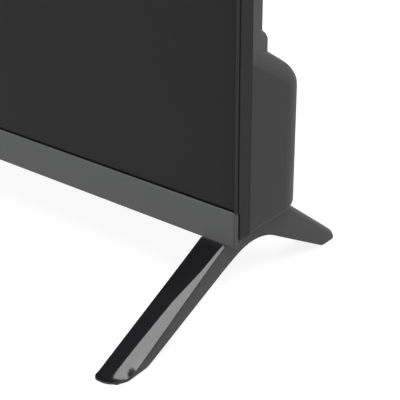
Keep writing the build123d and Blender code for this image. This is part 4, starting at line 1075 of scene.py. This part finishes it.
@dataclass(frozen=True)
class Tongues:
    """The contact tongues inside the flat sockets, which the CAD leaves open.

    A tongue's start and end are measured from the socket's mouth, and a contact's low and
    high side from the tongue's middle. The share is half a contact's width, of the pitch.
    """

    start: float = 2.0 * MM
    end: float = 9.9 * MM
    half_thickness: float = 0.45 * MM
    edge: float = 0.15 * MM
    contact_inset: float = 0.4 * MM
    contact_low: float = 0.40 * MM
    contact_high: float = 0.62 * MM
    contact_share: float = 0.28
    contact_edge: float = 0.03 * MM
    picture_width: float = 11.2 * MM
    picture_inset: float = 7.5 * MM
    picture_contacts: int = 19
    stick_width: float = 11.0 * MM
    stick_offset: float = 1.1 * MM
    stick_contacts: int = 4

    def build(self, shop: Workshop) -> None:
        """Make a tongue with contacts in every flat socket.

        Args:
            shop: makes the pieces.
        """
        low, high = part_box("hdmi_sockets")
        for i, z in enumerate((low.z + self.picture_inset, high.z - self.picture_inset)):
            middle = Vector((low.x, (low.y + high.y) / 2, z))
            mesh = self.tongue(middle, self.picture_width, self.picture_contacts)
            shop.finish(f"picture_socket_tongue_{i}", mesh, "audio_jacks", stands_for=False)
        low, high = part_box("usb_socket")
        middle = Vector((low.x, (low.y + high.y) / 2 - self.stick_offset, (low.z + high.z) / 2))
        mesh = self.tongue(middle, self.stick_width, self.stick_contacts)
        shop.finish("stick_socket_tongue", mesh, "audio_jacks", stands_for=False)

    def tongue(self, middle: Vector, width: float, contacts: int) -> bmesh.types.BMesh:
        """Make one tongue with its row of contacts.

        Args:
            middle: the tongue's middle, at the socket's mouth.
            width: its width, along Z.
            contacts: how many contacts it has.

        Returns:
            The tongue.
        """
        mesh = bmesh.new()
        x, y, z = middle
        low = Vector((x + self.start, y - self.half_thickness, z - width / 2))
        high = Vector((x + self.end, y + self.half_thickness, z + width / 2))
        add_slab(mesh, low, high, self.edge)
        pitch = width / (contacts + 1)
        half = pitch * self.contact_share
        for i in range(contacts):
            at = z - width / 2 + pitch * (i + 1)
            low = Vector((x + self.start + self.contact_inset, y + self.contact_low, at - half))
            high = Vector((x + self.end - self.contact_inset, y + self.contact_high, at + half))
            add_slab(mesh, low, high, self.contact_edge)
        return mesh


@dataclass(frozen=True)
class GapShade:
    """A thin black strip round the glass, painted shade for the shadow in the gaps, widest above the chin.

    It starts at the lip round the glass, and stands over the glass by a little.
    """

    lip: float = 2.0 * MM
    side: float = 0.45 * MM
    foot: float = 1.25 * MM
    over: float = 0.12 * MM
    edge: float = 0.036 * MM

    def build(self, shop: Workshop) -> None:
        """Make the four strips of painted shade as one piece, of the rubber that the foot pads have.

        Args:
            shop: makes the pieces.
        """
        low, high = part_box("front_bezel")
        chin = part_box("chin_trim")[1].z
        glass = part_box("lcd_panel")[0].y
        front, back = glass - self.over, glass + self.over
        left, right, top = low.x + self.lip, high.x - self.lip, high.z - self.lip
        mesh = bmesh.new()
        for x0, x1, z0, z1 in (
            (left, right, chin - self.over, chin + self.foot),
            (left, right, top - self.side, top),
            (left, left + self.side, chin, top),
            (right - self.side, right, chin, top),
        ):
            add_slab(mesh, Vector((x0, front, z0)), Vector((x1, back, z1)), self.edge)
        # the strips are painted shade: a black sheet where the gaps round the glass lie in shadow
        shop.finish("glass_gap_shade", mesh, "foot_pads", stands_for=False)


class Television:
    """The whole object: every piece, made or carried over."""

    EDGES: dict[str, float] = {
        "front_bezel": 0.42 * MM,
        "chin_trim": 0.3 * MM,
        "lcd_panel": 0.15 * MM,
        "middle_frame": 1.0 * MM,
        "rear_cover": 0.0,
        "port_panel": 0.0,
        "inlet_plate": 0.0,
        "ir_window": 0.0,
        "cover_screws": 0.0,
        "vesa_inserts": 0.15 * MM,
        "hdmi_sockets": 0.12 * MM,
        "usb_socket": 0.12 * MM,
        "audio_jacks": 0.15 * MM,
        "antenna_socket": 0.15 * MM,
        "ac_inlet": 0.2 * MM,
        "inlet_pins": 0.0,
        "foot_pads": 0.2 * MM,
        "foot_screws": 0.1 * MM,
        "key_volume_down": 0.0,
        "key_volume_up": 0.0,
        "key_menu": 0.0,
        "key_source": 0.0,
        "key_power": 0.0,
    }

    def __init__(self) -> None:
        """Set up the workshop."""
        self.shop = Workshop()

    def build(self) -> None:
        """Make every piece, and carry over the CAD nodes that none stands for."""
        for node, edge in self.EDGES.items():
            self.shop.refined(node, edge)
        for side in ("left", "right"):
            Foot(self.shop, side).build()
        Tongues().build(self.shop)
        # black strips of painted shade in the shadowed gaps round the glass
        GapShade().build(self.shop)
        for node, obj in frame["nodes"].items():
            if not obj.hide_render:
                self.shop.carry(node)


@dataclass(frozen=True)
class Lamp:
    """A soft rectangular lamp that faces its target, in metres and watts."""

    name: str
    place: Triple
    target: Triple
    size: Point
    power: float

    def build(self) -> None:
        """Make the lamp and face it to its target."""
        data = bpy.data.lights.new(self.name, "AREA")
        data.shape = "RECTANGLE"
        data.size, data.size_y = self.size
        data.energy = self.power
        obj = placed(self.name, data)
        obj.visible_camera = False
        obj.location = self.place
        aim = Vector(self.target) - Vector(self.place)
        obj.rotation_mode = "QUATERNION"
        obj.rotation_quaternion = aim.to_track_quat("-Z", "Y")
        LOG.info("%s: %.0f W", self.name, self.power)


@dataclass(frozen=True)
class Backdrop:
    """The white surroundings, which light the object only a little.

    What is glossy shows a dim ceiling with a bright panel on its right. Each rise gives the
    two places between which one starts, 1 being straight up or the far right.
    """

    light: float = 0.1
    ceiling: float = 0.1
    panel: float = 1.0
    ceiling_rise: Point = (0.2, 0.6)
    panel_rise: Point = (0.36, 0.54)

    def build(self) -> None:
        """Make the world."""
        world = bpy.data.worlds.new("studio")
        bpy.context.scene.world = world
        tree = Tree(world)
        direction = tree.node("ShaderNodeTexCoord", out="Generated")
        sideways = tree.axis("X", direction).step(*self.panel_rise)
        upwards = tree.axis("Z", direction).step(*self.ceiling_rise)
        white = self.glow(tree, 1.0)
        above = tree.blend(sideways, self.glow(tree, self.ceiling), self.glow(tree, self.panel))
        mirrored = tree.blend(upwards, white, above)
        shown = tree.blend(tree.ray("Glossy"), self.glow(tree, self.light), mirrored)
        shown = tree.blend(tree.ray("Transmission"), shown, white)
        shown = tree.blend(tree.ray("Camera"), shown, white)
        tree.close(shown, "ShaderNodeOutputWorld")

    @staticmethod
    def glow(tree: Tree, strength: float) -> Sock:
        """Return the shader of a white glow of the given strength."""
        return tree.node("ShaderNodeBackground", inputs={"Color": WHITE, "Strength": strength})


@dataclass(frozen=True)
class Floor:
    """A plain pale floor that takes the object's shadow.

    It throws the light of its grey on the object. Where it is seen, another grey takes the
    shadow and a glow makes it pale. Both greys wander a little, in blobs of some in a metre.
    """

    half_size: float = 6.0
    wander: float = 3.0
    unevenness: float = 0.01
    grey: float = 0.5
    seen_grey: float = 0.3
    seen_glow: float = 0.86
    roughness: float = 0.9
    specular: float = 0.1

    def build(self) -> None:
        """Make the floor."""
        mesh = bmesh.new()
        bmesh.ops.create_grid(mesh, x_segments=8, y_segments=8, size=self.half_size)
        data = bpy.data.meshes.new("floor")
        mesh.to_mesh(data)
        mesh.free()
        obj = placed("floor", data)
        data.materials.append(self.material())
        obj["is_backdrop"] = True

    def material(self) -> bpy.types.Material:
        """Make the floor's material.

        Returns:
            The material, which glows where it is seen.
        """
        material = bpy.data.materials.new("floor")
        tree = Tree(material)
        wander = tree.noise(self.wander)
        plain = self.surface(tree, wander, self.grey, 0.0)
        white = self.surface(tree, wander, self.seen_grey, self.seen_glow)
        seen = tree.ray("Camera") + tree.ray("Glossy") + tree.ray("Transmission")
        tree.close(tree.blend(seen, plain, white))
        return material

    def surface(self, tree: Tree, wander: Sock, grey: float, glow: float) -> Sock:
        """Return a dull surface.

        Args:
            tree: the material's tree.
            wander: its unevenness, from 0 to 1.
            grey: its grey.
            glow: how much it glows.

        Returns:
            Its shader.
        """
        shades = [(g, g, g) for g in (grey - self.unevenness, grey + self.unevenness)]
        inputs = {
            "Base Color": tree.mix(wander, *shades),
            "Roughness": self.roughness,
            "Specular IOR Level": self.specular,
            "Emission Color": WHITE,
            "Emission Strength": glow,
        }
        return tree.node("ShaderNodeBsdfPrincipled", inputs=inputs)


@dataclass(frozen=True)
class Camera:
    """A camera at the photograph's place, turned as it was.

    It looks down by its pitch, to the left by its turn and leans by its roll, in degrees.
    The focal length and the picture's width are in pixels of the photograph, the shift is
    in shares of that width, and the sensor's width is in millimetres.
    """

    place: Triple = (683.95 * MM, -440.8 * MM, 341.2 * MM)
    pitch: float = 26.42
    turn: float = 38.95
    roll: float = 0.18
    focal_length: float = 1156.0
    picture_width: float = 400.0
    shift: Point = (-0.0075, -0.0025)
    sensor_width: float = 36.0

    def build(self) -> None:
        """Make the camera and look through it."""
        data = bpy.data.cameras.new("camera")
        data.sensor_width = self.sensor_width
        data.lens = self.sensor_width * self.focal_length / self.picture_width
        data.shift_x, data.shift_y = self.shift
        data.clip_start, data.clip_end = 10 * MM, 100000 * MM
        obj = placed("camera", data)
        obj.location = self.place
        pitch, turn, roll = (math.radians(angle) for angle in (self.pitch, self.turn, self.roll))
        flat = math.cos(pitch)
        look = Vector((-math.sin(turn) * flat, math.cos(turn) * flat, -math.sin(pitch)))
        obj.rotation_mode = "QUATERNION"
        level = look.to_track_quat("-Z", "Y")
        obj.rotation_quaternion = Matrix.Rotation(roll, 3, look).to_quaternion() @ level
        bpy.context.scene.camera = obj


class Studio:
    """Backdrop, floor, lamps and camera."""

    LAMPS = (
        Lamp("overhead", (0.8, -0.4, 1.6), (0.6, -0.25, 0.1), (1.1, 1.8), 40.0),
        Lamp("front_fill", (-0.6, -2.2, 1.1), (0.2, 0.0, 0.2), (2.0, 1.4), 27.0),
        Lamp("back_right", (1.6, 1.8, 0.8), (0.34, 0.02, 0.1), (1.2, 1.2), 16.0),
    )

    def build(self) -> None:
        """Make the whole studio."""
        Backdrop().build()
        Floor().build()
        for lamp in self.LAMPS:
            lamp.build()
        Camera().build()
        bpy.context.scene.view_settings.view_transform = "Standard"


def note_size(label: str, sizes: dict[str, list[list[float]]]) -> None:
    """Add the shown object's corners to the sizes, under a label of when they were taken."""
    low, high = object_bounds()
    sizes[label] = [list(low), list(high)]


def main() -> None:
    """Make the television and its studio, and note its size before and after."""
    logging.basicConfig(level=logging.INFO, format="%(name)s: %(message)s")
    sizes: dict[str, list[list[float]]] = {}
    note_size("loaded", sizes)
    Television().build()
    Studio().build()
    note_size("finished", sizes)


if __name__ == "__main__":
    main()
